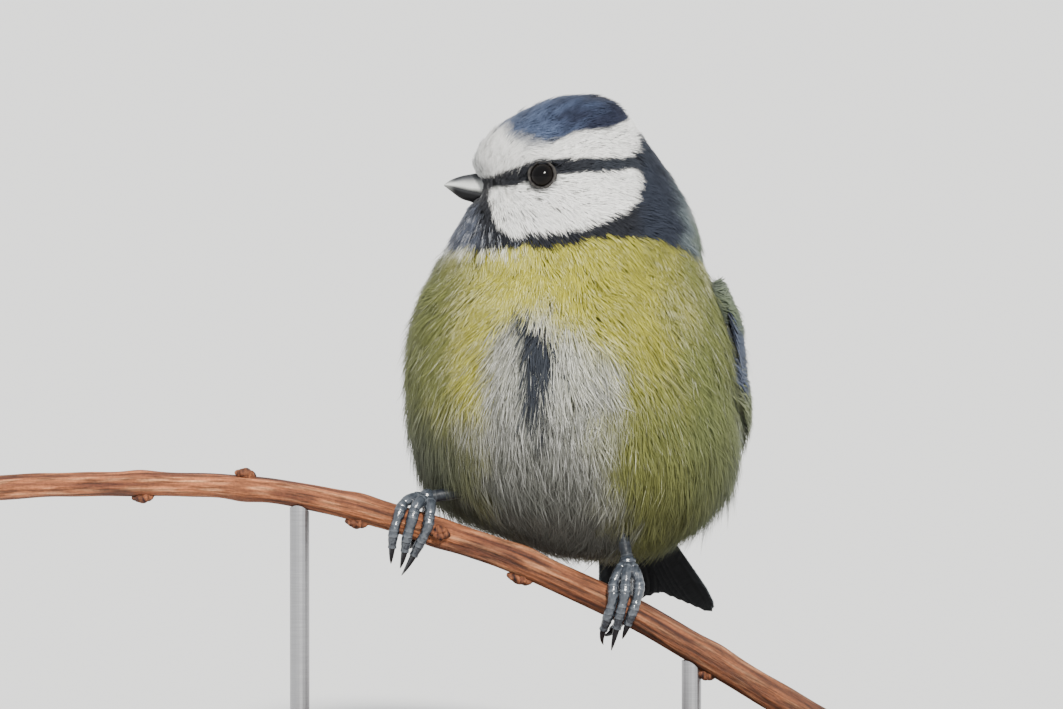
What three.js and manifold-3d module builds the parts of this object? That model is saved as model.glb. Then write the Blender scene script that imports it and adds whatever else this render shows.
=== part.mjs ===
// A blue tit, life size, fluffed up against the cold and perched on a short cut
// length of sloping twig, held over a plain display stand.
// Millimetres, +Z up. The origin is the middle of the stand base's underside.
// The bird's breast faces -Y and its head is turned to its right, towards -X.
import * as THREE from "three";
import { LoftGeometry } from "three/addons/geometries/LoftGeometry.js";
import { mergeVertices } from "three/addons/utils/BufferGeometryUtils.js";
import Module from "manifold-3d";

const wasm = await Module();
wasm.setup();

// Clearance between neighbouring pieces
const GAP = 0.3;

// Stand
const BASE = { length: 100, width: 80, thickness: 7, corner: 14, bevel: 1.2 };
const ROD_RADIUS = 1.5;
const ROD_X = [-32.5, 27.5];

// Place and heading of the body
const CENTRE = new THREE.Vector3(10, 3, 60.5);
const HEADING = THREE.MathUtils.degToRad(13);
const FORWARD = new THREE.Vector3(-Math.sin(HEADING), -Math.cos(HEADING), 0);
const LEFT = new THREE.Vector3(Math.cos(HEADING), -Math.sin(HEADING), 0);
const UP = new THREE.Vector3(0, 0, 1);

// Outline of the fluffed coat, from the belly to the crown, about the body's centre:
// height, then how far it reaches to the left, right, front and back at that height.
const COAT_LEVELS = [
  [-24.3, 2.8, 2.8, 2, 2],
  [-23.7, -2.8, 8.6, -1.6, 6.5],
  [-22.3, -8.6, 14.2, -5.6, 12],
  [-20.2, -13.6, 17.9, -9.5, 17.4],
  [-16, -20.4, 22, -15, 23.8],
  [-10, -24.6, 24.7, -21.3, 27.2],
  [-3, -26, 25.2, -25, 28],
  [4.5, -26.4, 24.5, -25.9, 26],
  [11.5, -25.6, 23.6, -24.9, 21.8],
  [17.5, -23.6, 21.2, -22.9, 15.6],
  [22.5, -20.9, 19.3, -20.4, 10.9],
  [26.5, -18.7, 18.4, -19, 9.1],
  [30, -16.6, 17.1, -18.3, 8.4],
  [33, -14.9, 15.4, -17.6, 7.7],
  [36.5, -15.9, 13.1, -16.6, 6.7],
  [40.5, -14.1, 10.2, -15, 5],
  [44, -9.6, 7.3, -12.3, 2.3],
  [46.4, -4.1, 4.6, -9, -1.2],
  [47.2, 0.9, 0.9, -5, -5],
];
// How far the flanks are tucked in under the wings, and over which heights
const WING_TUCK = { share: 0.085, heights: [-18, -8, 14, 22] };
const COAT_RINGS = 34;
const COAT_SIDES = 40;
const HEAD_BASE = { height: 24, tilt: 2 };
const NECK_BASE = { height: 16.5, tilt: 6 };

// Head
const HEAD_Y = -5;
const EYE = { x: -5.5, z: 35.1, radius: 2.1, depth: 1.25, lid: 0.42 };
const BILL = {
  rootX: -10.5,
  tipX: -20.4,
  tipZ: 33.25,
  mouthRootZ: 31.9,
  culmenRootZ: 35.9,
  chinRootZ: 29.8,
  halfWidth: 2.15,
  steps: 8,
};
const NOSTRIL = { x: -15.4, z: 34.1, y: 1.35, length: 0.6, height: 0.35 };

// Tail
const TAIL = {
  root: new THREE.Vector3(4.6, 18, -7.1),
  pitch: THREE.MathUtils.degToRad(34),
  roll: THREE.MathUtils.degToRad(3),
  start: 22.3,
  length: 50.5,
  notch: 2.6,
  tipHalfWidth: 10.3,
};
const RECTRIX = { count: 12, rootHalf: 1.7, tipHalf: 2.7, step: 0.3 };
// Distance along the tail, half width and half height of the rump at each step
const RUMP_LEVELS = [
  [-2, 12, 9],
  [5, 12, 10.2],
  [10, 10.6, 8.6],
  [16, 8, 5],
  [22, 5.2, 2.1],
];

// Folded wing, in the body's own forward, left and up directions
const WING_LOWER_EDGE = [
  [1.5, 22.2, 3.5],
  [-14, 20.6, -7],
  [-30, 14, -15.5],
  [-43, 5.2, -20],
];
const WING_UPPER_EDGE = [
  [3, 18.8, 17],
  [-13, 16, 13],
  [-28, 9.2, 0.5],
  [-42, 3.8, -18.3],
];
const WING_BULGE = 0.9;
const WING_CORE = { from: 0.02, to: 0.86, top: -0.1, bottom: -2.2 };
// Tiers of vanes, from those underneath to those on top. Each runs from its lowest
// vane to its highest: places of the roots and tips on the folded wing (s from front
// to tip, t from lower to upper edge), half width, and height above the wing.
const WING_TIERS = [
  { count: 8, root: [[0.27, 0.14], [0.27, 0.4]], tip: [[1, 0.5], [0.78, 0.5]], half: 2.3, lift: 0 },
  { count: 6, root: [[0.26, 0.42], [0.26, 0.8]], tip: [[0.82, 0.5], [0.68, 0.88]], half: 2.6, lift: 0.25 },
  { count: 3, root: [[0.26, 0.82], [0.24, 0.96]], tip: [[0.66, 0.84], [0.52, 0.98]], half: 3, lift: 0.5 },
  { count: 4, root: [[0.16, 0.1], [0.16, 0.28]], tip: [[0.5, 0.04], [0.42, 0.26]], half: 1.8, lift: 0.45 },
  { count: 7, root: [[0.12, 0.28], [0.12, 0.92]], tip: [[0.4, 0.24], [0.38, 0.96]], half: 2.2, lift: 0.65 },
  { count: 6, root: [[0.03, 0.2], [0.03, 0.86]], tip: [[0.23, 0.14], [0.22, 0.92]], half: 2.4, lift: 0.85 },
];
const SHINGLE = 0.38;
const WING_ROUNDING = 0.08;
// Vanes: thickness at the root and tip, and the width left at each step along them
const VANE = { root: 0.7, tip: 0.5 };
const VANE_WIDTHS = [
  [0, 0.6],
  [0.3, 0.95],
  [0.7, 1],
  [0.92, 0.8],
  [1, 0.3],
];

// Perch: x and z of the twig's middle line about the body's centre, and its radius
const TWIG_Y = -9;
const TWIG_LINE = [
  [-90.5, -13.1, 1.95],
  [-79.5, -12.5, 1.85],
  [-61, -12.4, 1.85],
  [-51.5, -12.8, 1.9],
  [-42.6, -14, 1.95],
  [-28.7, -17.4, 2.05],
  [-21, -19.9, 2.2],
  [-11.8, -23, 2.25],
  [-2.6, -26.9, 2.3],
  [9.7, -32.7, 2.3],
  [18.9, -38.2, 2.3],
  [28.2, -43.8, 2.35],
  [38.6, -50, 2.35],
];
const TWIG_STEPS = 40;
const TWIG_SIDES = 10;
// Buds: x along the twig, side (+1 above, -1 below) and length
const BUDS = [
  [-67, -1, 3.2],
  [-51.2, 1, 3],
  [-33.6, -1, 3.4],
  [-8.4, -1, 3.4],
  [20.6, -1, 2.6],
];

// Legs. Points are right, up and towards the front from the twig's middle line.
const TOE_RADIUS = 0.85;
const CLAW_RADIUS = 0.52;
const PAD_RADIUS = 1.3;
const TARSUS_RADIUS = 0.95;
const FEET = {
  l: {
    x: 6.9,
    z: -31.1,
    pad: [0.8, 6.7, 0.4],
    tarsus: [
      [0.8, 7.2, 0.3],
      [0.1, 10.6, -0.6],
      [-0.6, 14.5, -3],
    ],
    toes: [
      [[0.9, 6.2, -0.9], [0.9, 3.4, -3.4], [0.6, 0.3, -3.9], [-0.3, -2.5, -3.2], [-1.4, -3.8, -1.3]],
      [[0.2, 6.4, 1], [-1.3, 3.9, 3], [-1.5, 1.2, 3.7], [-2.2, -1.3, 3.6], [-2.9, -3.4, 2.5]],
      [[0.8, 6.4, 1.2], [0.5, 4.5, 3], [0.3, 2, 3.9], [-0.3, -0.6, 3.9], [-0.9, -3.2, 3]],
      [[1.3, 6.4, 0.9], [2.5, 3.9, 2.7], [2.2, 1.4, 3.6], [1.5, -0.7, 3.8], [0.8, -2.6, 3.3]],
    ],
    claws: [
      [-2.9, -4.4, 1.1],
      [-2.9, -5.9, 0.4],
      [-1.7, -6.7, 1.3],
      [0, -4.9, 1.6],
    ],
  },
  r: {
    x: -25.6,
    z: -18.3,
    pad: [2.6, 3.9, 0.3],
    tarsus: [
      [3.1, 4, 0.2],
      [7, 4.6, -0.5],
      [12, 5.6, -3],
    ],
    toes: [
      [[2.4, 3.6, -1], [2.6, 1.9, -3], [2.2, -0.6, -3.5], [1.2, -2.5, -2.6], [0.2, -3.4, -1]],
      [[3, 3.6, 1], [3.1, 1.7, 3], [2.6, -0.8, 3.6], [1.5, -3, 3.2], [0.6, -4.8, 2.5]],
      [[2, 3.9, 1.1], [0.9, 2.6, 2.9], [0.3, 0.4, 3.6], [-0.4, -2, 3.5], [-0.8, -4.2, 2.9]],
      [[1.6, 4, 0.6], [-0.7, 3.3, 2.1], [-1.9, 0.8, 3.4], [-2.5, -1.6, 3.6], [-2.7, -3.6, 3.1]],
    ],
    claws: [
      [-1.2, -3.9, 0.9],
      [-1.3, -8, 1.2],
      [-1.5, -6.9, 1.2],
      [-2.9, -6.2, 1.4],
    ],
  },
};

// Colours and finishes
const material = (color, roughness, metalness = 0) =>
  new THREE.MeshStandardMaterial({ color, roughness, metalness });
const MATERIALS = {
  head: material(0xdfe2e6, 0.9),
  yellow: material(0xb3ad58, 0.9),
  back: material(0x7d8a62, 0.9),
  wing: material(0x4d6a94, 0.75),
  tail: material(0x48597d, 0.75),
  horn: material(0x2d3138, 0.4),
  eye: material(0x0b0807, 0.08),
  leg: material(0x4c5664, 0.5),
  claw: material(0x25282c, 0.4),
  bark: material(0x9c5a3a, 0.6),
  wood: material(0x6b4a33, 0.5),
  rod: material(0xb9bcc0, 0.3, 1),
};

// Solids

// A closed geometry as a solid, with its faces turned out.
function solid(geometry) {
  const bare = new THREE.BufferGeometry().setAttribute("position", geometry.getAttribute("position"));
  bare.setIndex(geometry.index);
  const merged = mergeVertices(bare, 1e-4);
  const source = merged.index.array;
  const corners = [];
  for (let i = 0; i < source.length; i += 3) {
    const [a, b, c] = source.slice(i, i + 3);
    if (a !== b && b !== c && c !== a) corners.push(a, b, c);
  }
  const make = (triVerts) =>
    new wasm.Manifold(
      new wasm.Mesh({
        numProp: 3,
        vertProperties: merged.attributes.position.array,
        triVerts: new Uint32Array(triVerts),
      }),
    );
  const made = make(corners);
  return made.volume() < 0 ? make(corners.reverse()) : made;
}

// A solid as three.js geometry.
function geometryOf(made) {
  const mesh = made.getMesh();
  const geometry = new THREE.BufferGeometry();
  geometry.setAttribute("position", new THREE.BufferAttribute(mesh.vertProperties, 3));
  geometry.setIndex(new THREE.BufferAttribute(mesh.triVerts, 1));
  geometry.computeVertexNormals();
  return geometry;
}

const join = (pieces) => pieces.reduce((all, piece) => all.add(piece));

// The largest closed body of a solid, with its slivers closed.
function largest(made) {
  const bodies = made.simplify(0.02).decompose();
  return bodies.reduce((best, body) => (body.volume() > best.volume() ? body : best));
}

// Shape tools

// Catmull-Rom interpolation of rows of numbers, at t from 0 to 1.
function alongRows(rows, t) {
  const place = THREE.MathUtils.clamp(t, 0, 1) * (rows.length - 1);
  const i = Math.min(Math.floor(place), rows.length - 2);
  const f = place - i;
  const row = (k) => rows[THREE.MathUtils.clamp(k, 0, rows.length - 1)];
  return rows[i].map((_, k) => {
    const [a, b, c, d] = [row(i - 1)[k], row(i)[k], row(i + 1)[k], row(i + 2)[k]];
    return b + 0.5 * f * (c - a + f * (2 * a - 5 * b + 4 * c - d + f * (3 * (b - c) + d - a)));
  });
}

const vector = (p) => new THREE.Vector3(...p);
const curve = (points) => new THREE.CatmullRomCurve3(points.map(vector), false, "centripetal");

// A closed form through a row of rings, with each end closed by a fan from its middle.
function loft(rings) {
  const middle = (ring) => ring.reduce((sum, p) => sum.add(p), new THREE.Vector3()).divideScalar(ring.length);
  const closing = (ring) => new Array(ring.length).fill(middle(ring));
  return solid(new LoftGeometry([closing(rings[0]), ...rings, closing(rings.at(-1))]));
}

// A round tube along a curve, whose radius comes from a function of 0 to 1.
function tube(path, radiusAt, steps, sides) {
  const frames = path.computeFrenetFrames(steps);
  const sections = [];
  for (let i = 0; i <= steps; i++) {
    const middle = path.getPointAt(i / steps);
    const radius = radiusAt(i / steps);
    const ring = [];
    for (let k = 0; k < sides; k++) {
      const angle = (2 * Math.PI * k) / sides;
      ring.push(
        middle
          .clone()
          .addScaledVector(frames.normals[i], radius * Math.cos(angle))
          .addScaledVector(frames.binormals[i], radius * Math.sin(angle)),
      );
    }
    sections.push(ring);
  }
  return loft(sections);
}

// A plate between two grids of points, split into triangles alike on both faces.
function plate(top, bottom) {
  const rows = top.length;
  const columns = top[0].length;
  const points = [...top.flat(), ...bottom.flat()];
  const at = (face, i, k) => face * rows * columns + i * columns + k;
  const faces = [];
  const quad = (a, b, c, d) => faces.push(a, b, c, a, c, d);
  for (let i = 0; i + 1 < rows; i++) {
    for (let k = 0; k + 1 < columns; k++) {
      quad(at(0, i, k), at(0, i, k + 1), at(0, i + 1, k + 1), at(0, i + 1, k));
      faces.push(at(1, i, k), at(1, i + 1, k + 1), at(1, i, k + 1));
      faces.push(at(1, i, k), at(1, i + 1, k), at(1, i + 1, k + 1));
    }
    quad(at(0, i, 0), at(0, i + 1, 0), at(1, i + 1, 0), at(1, i, 0));
    const last = columns - 1;
    quad(at(0, i + 1, last), at(0, i, last), at(1, i, last), at(1, i + 1, last));
  }
  for (let k = 0; k + 1 < columns; k++) {
    quad(at(0, 0, k + 1), at(0, 0, k), at(1, 0, k), at(1, 0, k + 1));
    const end = rows - 1;
    quad(at(0, end, k), at(0, end, k + 1), at(1, end, k + 1), at(1, end, k));
  }
  const geometry = new THREE.BufferGeometry().setFromPoints(points);
  geometry.setIndex(faces);
  return solid(geometry);
}

// A tapered vane. place(q, u, h) is the point at q along it, u across it and h above it.
function vane(place) {
  const grid = (face) =>
    VANE_WIDTHS.map(([q, width]) => {
      const half = (face * THREE.MathUtils.lerp(VANE.root, VANE.tip, q)) / 2;
      return [-1, 1].map((u) => place(q, u * width, half));
    });
  return plate(grid(1), grid(-1));
}

const { smoothstep } = THREE.MathUtils;
// Rises from 0 to 1 between a and b, and falls again between c and d.
const bell = (x, [a, b, c, d]) => smoothstep(x, a, b) * (1 - smoothstep(x, c, d));

// Coat: one closed form from the belly to the crown

// How far up its levels, from 0 to 1, the coat reaches a height.
function levelAt(z) {
  let [low, high] = [0, 1];
  for (let i = 0; i < 24; i++) {
    const middle = (low + high) / 2;
    if (alongRows(COAT_LEVELS, middle)[0] < z) low = middle;
    else high = middle;
  }
  return low;
}

// The point of the coat at t along its levels and an angle round it, moved out by offset.
function coatPoint(t, angle, offset = 0) {
  const place = (u, a) => {
    const [z, left, right, front, back] = alongRows(COAT_LEVELS, u);
    const tuck = WING_TUCK.share * bell(z, WING_TUCK.heights) * smoothstep(Math.sin(a), 0, 0.4);
    const x = (left + right) / 2 + ((right - left) / 2) * Math.cos(a) * (1 - tuck);
    const y = (front + back) / 2 + ((back - front) / 2) * Math.sin(a);
    return new THREE.Vector3(x, y, z);
  };
  const point = place(t, angle);
  if (offset) {
    const inner = THREE.MathUtils.clamp(t, 0.004, 0.996);
    const round = place(inner, angle + 0.01).sub(place(inner, angle - 0.01));
    const along = place(inner + 0.002, angle).sub(place(inner - 0.002, angle));
    const polar = t <= 0 ? new THREE.Vector3(0, 0, -1) : new THREE.Vector3(0, 0, 1);
    const normal = t <= 0 || t >= 1 ? polar : round.cross(along).normalize();
    point.addScaledVector(normal, offset);
  }
  return point.add(CENTRE);
}

function coatSolid(offset = 0, rings = COAT_RINGS, sides = COAT_SIDES) {
  const sections = [];
  for (let i = 0; i <= rings; i++) {
    const ring = [];
    for (let k = 0; k < sides; k++) {
      ring.push(coatPoint(i / rings, (2 * Math.PI * k) / sides, offset));
    }
    sections.push(ring);
  }
  return loft(sections);
}

// A thin slab across the coat, square to the body's height apart from its tilt.
function cutAt({ height, tilt }) {
  const slab = new THREE.BoxGeometry(120, 120, GAP);
  slab.rotateY(-THREE.MathUtils.degToRad(tilt));
  slab.translate(CENTRE.x, CENTRE.y, CENTRE.z + height);
  return solid(slab);
}

// Torso, neck and head, lowest first.
function coatParts() {
  const parted = coatSolid().subtract(cutAt(HEAD_BASE)).subtract(cutAt(NECK_BASE));
  const heightOf = (body) => body.boundingBox().max[2];
  return parted.decompose().sort((a, b) => heightOf(a) - heightOf(b));
}

// Head

// The middle of an eyeball, on side -1 (front, the bird's left) or 1.
function eyeCentre(side) {
  const [, left, right] = alongRows(COAT_LEVELS, levelAt(EYE.z));
  const angle = side * Math.acos((EYE.x - (left + right) / 2) / ((right - left) / 2));
  return coatPoint(levelAt(EYE.z), angle, -EYE.depth);
}

const eyeball = (side, radius) => {
  const ball = new THREE.SphereGeometry(radius, 16, 12);
  ball.rotateX(Math.PI / 2);
  return solid(ball.translate(...eyeCentre(side).toArray()));
};

// The ring of the lids where the eyeball comes through the coat.
function lids(side) {
  const centre = eyeCentre(side);
  const middle = CENTRE.clone().add(new THREE.Vector3(EYE.x * 0.5, HEAD_Y, EYE.z - 3));
  const outward = centre.clone().sub(middle).normalize();
  const opening = Math.sqrt((EYE.radius + GAP) ** 2 - EYE.depth ** 2);
  const ring = new THREE.TorusGeometry(opening + EYE.lid / 2, EYE.lid, 5, 16);
  ring.applyQuaternion(new THREE.Quaternion().setFromUnitVectors(UP, outward));
  ring.translate(...centre.clone().addScaledVector(outward, EYE.depth).toArray());
  return solid(ring);
}

// One half of the bill: its mouth edge is flat and its outer edge is arched.
function mandible(outerRootZ, side) {
  const sections = [];
  for (let i = 0; i <= BILL.steps; i++) {
    const q = i / BILL.steps;
    const x = THREE.MathUtils.lerp(BILL.rootX, BILL.tipX + (side < 0 ? 0.5 : 0), q);
    const mouth = THREE.MathUtils.lerp(BILL.mouthRootZ, BILL.tipZ - 0.1, q) + (side * GAP) / 2;
    const taper = Math.sqrt(1 - q ** 2.2) + 0.06;
    const arch = Math.abs(outerRootZ - BILL.mouthRootZ) * (side > 0 ? 1 - q ** 2.4 + 0.07 : 1 - q ** 1.6 + 0.06);
    const ring = [];
    for (let k = 0; k < 10; k++) {
      const angle = (Math.PI * k) / 9;
      const y = BILL.halfWidth * (1 - q) ** 0.75 * taper * Math.cos(angle) + 0.12 * Math.cos(angle);
      ring.push(new THREE.Vector3(x, HEAD_Y + y, mouth + side * arch * Math.sin(angle)).add(CENTRE));
    }
    sections.push(ring);
  }
  return loft(sections);
}

function nostril(side) {
  const pit = new THREE.SphereGeometry(1, 10, 8);
  pit.scale(NOSTRIL.length, 0.6, NOSTRIL.height);
  pit.translate(NOSTRIL.x, HEAD_Y + side * NOSTRIL.y, NOSTRIL.z);
  return solid(pit.translate(...CENTRE.toArray()));
}

// Tail and rump

const TAIL_ALONG = FORWARD.clone()
  .multiplyScalar(-Math.cos(TAIL.pitch))
  .addScaledVector(UP, -Math.sin(TAIL.pitch));
const TAIL_ACROSS = LEFT.clone().applyAxisAngle(TAIL_ALONG, TAIL.roll);
const TAIL_UP = TAIL_ACROSS.clone().cross(TAIL_ALONG);

// A point by its distance along, across and above the tail's middle line.
const tailPoint = (along, across, above) =>
  TAIL.root
    .clone()
    .add(CENTRE)
    .addScaledVector(TAIL_ALONG, along)
    .addScaledVector(TAIL_ACROSS, across)
    .addScaledVector(TAIL_UP, above);

function rump(offset = 0) {
  const sides = 24;
  const sections = [];
  for (let i = 0; i <= 10; i++) {
    const [along, halfWidth, halfHeight] = alongRows(RUMP_LEVELS, i / 10);
    const ring = [];
    for (let k = 0; k < sides; k++) {
      const angle = (2 * Math.PI * k) / sides;
      ring.push(
        tailPoint(
          along + (i === 10 ? offset : 0),
          (halfWidth + offset) * Math.cos(angle),
          (halfHeight + offset) * Math.sin(angle),
        ),
      );
    }
    sections.push(ring);
  }
  return loft(sections);
}

// Tail feathers: the middle pair lies on top and the outer ones are the longest.
function tail() {
  const middle = (RECTRIX.count - 1) / 2;
  const vanes = [];
  for (let i = 0; i < RECTRIX.count; i++) {
    const k = i - middle;
    const end = TAIL.length - TAIL.notch * (1 - Math.abs(k) / middle);
    const stack = -RECTRIX.step * (Math.abs(k) - (k > 0 ? 0.5 : 0));
    const place = (q, u, h) => {
      const half = THREE.MathUtils.lerp(RECTRIX.rootHalf, RECTRIX.tipHalf, q);
      const reach = THREE.MathUtils.lerp(4.7, TAIL.tipHalfWidth, q) - half;
      return tailPoint(THREE.MathUtils.lerp(TAIL.start, end, q), (reach * k) / middle + half * u, stack + h);
    };
    vanes.push(vane(place));
  }
  return join(vanes);
}

// Wings

const wingLower = curve(WING_LOWER_EDGE);
const wingUpper = curve(WING_UPPER_EDGE);

// How far out to one side the coat reaches at a place forward of the body's centre.
function coatReach(side, forward, z) {
  const [, left, right, front, back] = alongRows(COAT_LEVELS, levelAt(z));
  const tuck = WING_TUCK.share * bell(z, WING_TUCK.heights);
  let [inside, outside] = [0, 40];
  for (let i = 0; i < 16; i++) {
    const out = (inside + outside) / 2;
    const place = FORWARD.clone().multiplyScalar(forward).addScaledVector(LEFT, side * out);
    const sine = (place.y - (front + back) / 2) / ((back - front) / 2);
    const half = ((right - left) / 2) * (1 - tuck * smoothstep(sine, 0, 0.4));
    if (Math.hypot((place.x - (left + right) / 2) / half, sine) < 1) inside = out;
    else outside = out;
  }
  return inside;
}

// A point of the folded wing's outer face: s from front to tip, t from lower to upper
// edge, raised by h, on side 1 (the bird's left) or -1. It lies on the coat or clear of it.
function wingPoint(side, s, t, h = 0) {
  const place = (a, b) => {
    const point = wingLower.getPoint(a).lerp(wingUpper.getPoint(a), b);
    point.y += WING_BULGE * (1 - 0.4 * a) * 4 * b * (1 - b);
    const beyond = coatReach(side, point.x, point.z) - point.y;
    point.y += (beyond + Math.hypot(beyond, 1)) / 2;
    return point;
  };
  const step = 0.01;
  const along = place(s + step, t).sub(place(s - step, t));
  const across = place(s, t + step).sub(place(s, t - step));
  const point = place(s, t).addScaledVector(along.cross(across).normalize(), h);
  return CENTRE.clone()
    .addScaledVector(FORWARD, point.x)
    .addScaledVector(LEFT, side * point.y)
    .addScaledVector(UP, point.z);
}

// The flesh and small feathers under the wing's vanes.
function wingCore(side) {
  const rows = 12;
  const columns = 5;
  const grid = (h) =>
    Array.from({ length: rows + 1 }, (_, i) =>
      Array.from({ length: columns + 1 }, (_, k) => {
        const q = i / rows;
        const s = THREE.MathUtils.lerp(WING_CORE.from, WING_CORE.to, q);
        const spread = Math.sqrt(1 - Math.max(0, 1 - q / 0.2) ** 2) * (1 - 0.55 * Math.max(0, q - 0.3));
        return wingPoint(side, s, 0.5 + 0.92 * (k / columns - 0.5) * spread, h);
      }),
    );
  return plate(grid(WING_CORE.top), grid(WING_CORE.bottom));
}

// One vane of the wing, f of the way up its tier. Its lower edge lies over its neighbour.
function wingVane(side, tier, f) {
  const between = ([a, b]) => a.map((x, k) => THREE.MathUtils.lerp(x, b[k], f));
  const root = between(tier.root);
  const tip = between(tier.tip);
  root[0] += WING_ROUNDING * (2 * f - 1) ** 2;
  const place = (q, u, h) => {
    const s = THREE.MathUtils.lerp(root[0], tip[0], q);
    const t = THREE.MathUtils.lerp(root[1], tip[1], q ** 1.2);
    const across = wingPoint(side, s, t + 0.02).sub(wingPoint(side, s, t - 0.02)).normalize();
    const lift = tier.lift * (1 - 0.6 * q) - SHINGLE * u;
    return wingPoint(side, s, t, lift + h).addScaledVector(across, tier.half * u);
  };
  return vane(place);
}

function wing(side) {
  const vanes = WING_TIERS.flatMap((tier) =>
    Array.from({ length: tier.count }, (_, k) => wingVane(side, tier, k / (tier.count - 1))),
  );
  return join([wingCore(side), ...vanes]);
}

// Perch

const twigCurve = curve(TWIG_LINE.map(([x, z]) => [x + CENTRE.x, TWIG_Y + CENTRE.y, z + CENTRE.z]));

// The twig's middle and radius at x about the body's centre.
function twigAt(x) {
  let [low, high] = [0, 1];
  for (let i = 0; i < 30; i++) {
    const middle = (low + high) / 2;
    if (twigCurve.getPointAt(middle).x - CENTRE.x < x) low = middle;
    else high = middle;
  }
  const k = TWIG_LINE.findIndex((row) => row[0] >= x);
  return { point: twigCurve.getPointAt(low), radius: TWIG_LINE[Math.max(k, 0)][2] };
}

function bud([x, side, length]) {
  const { point, radius } = twigAt(x);
  const lump = new THREE.SphereGeometry(1, 8, 6);
  lump.scale(length / 2, 1, 0.95);
  lump.rotateY(side * 0.35);
  lump.translate(point.x, point.y - 0.3, point.z + side * (radius + 0.15));
  return solid(lump);
}

function twig(offset = 0) {
  const radiusAt = (q) => {
    const x = twigCurve.getPointAt(q).x - CENTRE.x;
    const k = THREE.MathUtils.clamp(
      TWIG_LINE.findIndex((row) => row[0] > x),
      1,
      TWIG_LINE.length - 1,
    );
    const [x0, , r0] = TWIG_LINE[k - 1];
    const [x1, , r1] = TWIG_LINE[k];
    return offset + THREE.MathUtils.mapLinear(THREE.MathUtils.clamp(x, x0, x1), x0, x1, r0, r1);
  };
  return tube(twigCurve, radiusAt, TWIG_STEPS, TWIG_SIDES);
}

// Feet

const footPoint = (foot, [right, up, front]) =>
  new THREE.Vector3(foot.x + right, TWIG_Y - front, foot.z + up).add(CENTRE);
const footCurve = (foot, points) =>
  new THREE.CatmullRomCurve3(
    points.map((p) => footPoint(foot, p)),
    false,
    "centripetal",
  );

// Toes are thicker under their joints and thinner towards the claw.
const toeRadius = (q) => TOE_RADIUS * (1.04 - 0.22 * q) * (0.94 + 0.1 * Math.abs(Math.sin(3 * Math.PI * q)));

function footSolid(foot) {
  const pad = new THREE.SphereGeometry(PAD_RADIUS, 12, 10);
  pad.translate(...footPoint(foot, foot.pad).toArray());
  const toes = foot.toes.map((points) => tube(footCurve(foot, points), toeRadius, 10, 7));
  return join([solid(pad), ...toes]);
}

// A claw starts just past its toe and hooks towards its tip.
function claw(foot, k) {
  const toe = footCurve(foot, foot.toes[k]);
  const end = toe.getPoint(1);
  const direction = toe.getTangent(1);
  const start = end.clone().addScaledVector(direction, GAP);
  const tip = footPoint(foot, foot.claws[k]);
  const bend = start.clone().addScaledVector(direction, start.distanceTo(tip) * 0.5);
  const path = new THREE.QuadraticBezierCurve3(start, bend, tip);
  return tube(path, (q) => CLAW_RADIUS * (1 - q) ** 0.8 + 0.06, 5, 6);
}

function tarsus(foot) {
  const pad = new THREE.SphereGeometry(PAD_RADIUS + GAP, 12, 10);
  pad.translate(...footPoint(foot, foot.pad).toArray());
  const shank = tube(footCurve(foot, foot.tarsus), (q) => TARSUS_RADIUS * (1 + 0.15 * q), 8, 8);
  return shank.subtract(solid(pad));
}

// Stand

function standBase() {
  const { length, width, thickness, corner, bevel } = BASE;
  const [x, y] = [length / 2 - bevel, width / 2 - bevel];
  const outline = new THREE.Shape();
  outline.absarc(x - corner, y - corner, corner, 0, Math.PI / 2);
  outline.absarc(-x + corner, y - corner, corner, Math.PI / 2, Math.PI);
  outline.absarc(-x + corner, -y + corner, corner, Math.PI, 1.5 * Math.PI);
  outline.absarc(x - corner, -y + corner, corner, 1.5 * Math.PI, 2 * Math.PI);
  const slab = new THREE.ExtrudeGeometry(outline, {
    depth: thickness - 2 * bevel,
    bevelThickness: bevel,
    bevelSize: bevel,
    bevelSegments: 1,
    curveSegments: 7,
  });
  return solid(slab.translate(0, 0, bevel));
}

function rod(x) {
  const { point } = twigAt(x - CENTRE.x);
  const low = BASE.thickness + GAP;
  const post = new THREE.CylinderGeometry(ROD_RADIUS, ROD_RADIUS, point.z - low, 20);
  post.rotateX(Math.PI / 2);
  post.translate(point.x, point.y, (point.z + low) / 2);
  return solid(post).subtract(twig(GAP));
}

// Assembly

const bird = new THREE.Group();
function node(name, made, finish) {
  const mesh = new THREE.Mesh(geometryOf(largest(made)), finish);
  mesh.name = name;
  bird.add(mesh);
}

const [torso, neck, head] = coatParts();
const coatClear = coatSolid(GAP);
// Its facets are wide, so it is set off further
const wingClear = coatSolid(2.6 * GAP, COAT_RINGS / 2, COAT_SIDES / 2);
const rumpClear = rump(GAP);
const twigClear = twig(GAP);

const faced = join([head, lids(-1), lids(1)])
  .subtract(eyeball(-1, EYE.radius + GAP))
  .subtract(eyeball(1, EYE.radius + GAP));
node("head", faced, MATERIALS.head);
node("neck", neck, MATERIALS.yellow);
node("torso", torso, MATERIALS.yellow);
node("eye_l", eyeball(-1, EYE.radius), MATERIALS.eye);
node("eye_r", eyeball(1, EYE.radius), MATERIALS.eye);

const upperBill = mandible(BILL.culmenRootZ, 1).subtract(nostril(-1)).subtract(nostril(1));
node("bill_upper", upperBill.subtract(coatClear), MATERIALS.horn);
node("bill_lower", mandible(BILL.chinRootZ, -1).subtract(coatClear), MATERIALS.horn);

node("rump", rump().subtract(coatClear), MATERIALS.back);
node("tail", tail(), MATERIALS.tail);
for (const [name, side] of [["wing_l", 1], ["wing_r", -1]]) {
  node(name, wing(side).subtract(wingClear).subtract(rumpClear), MATERIALS.wing);
}

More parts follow.
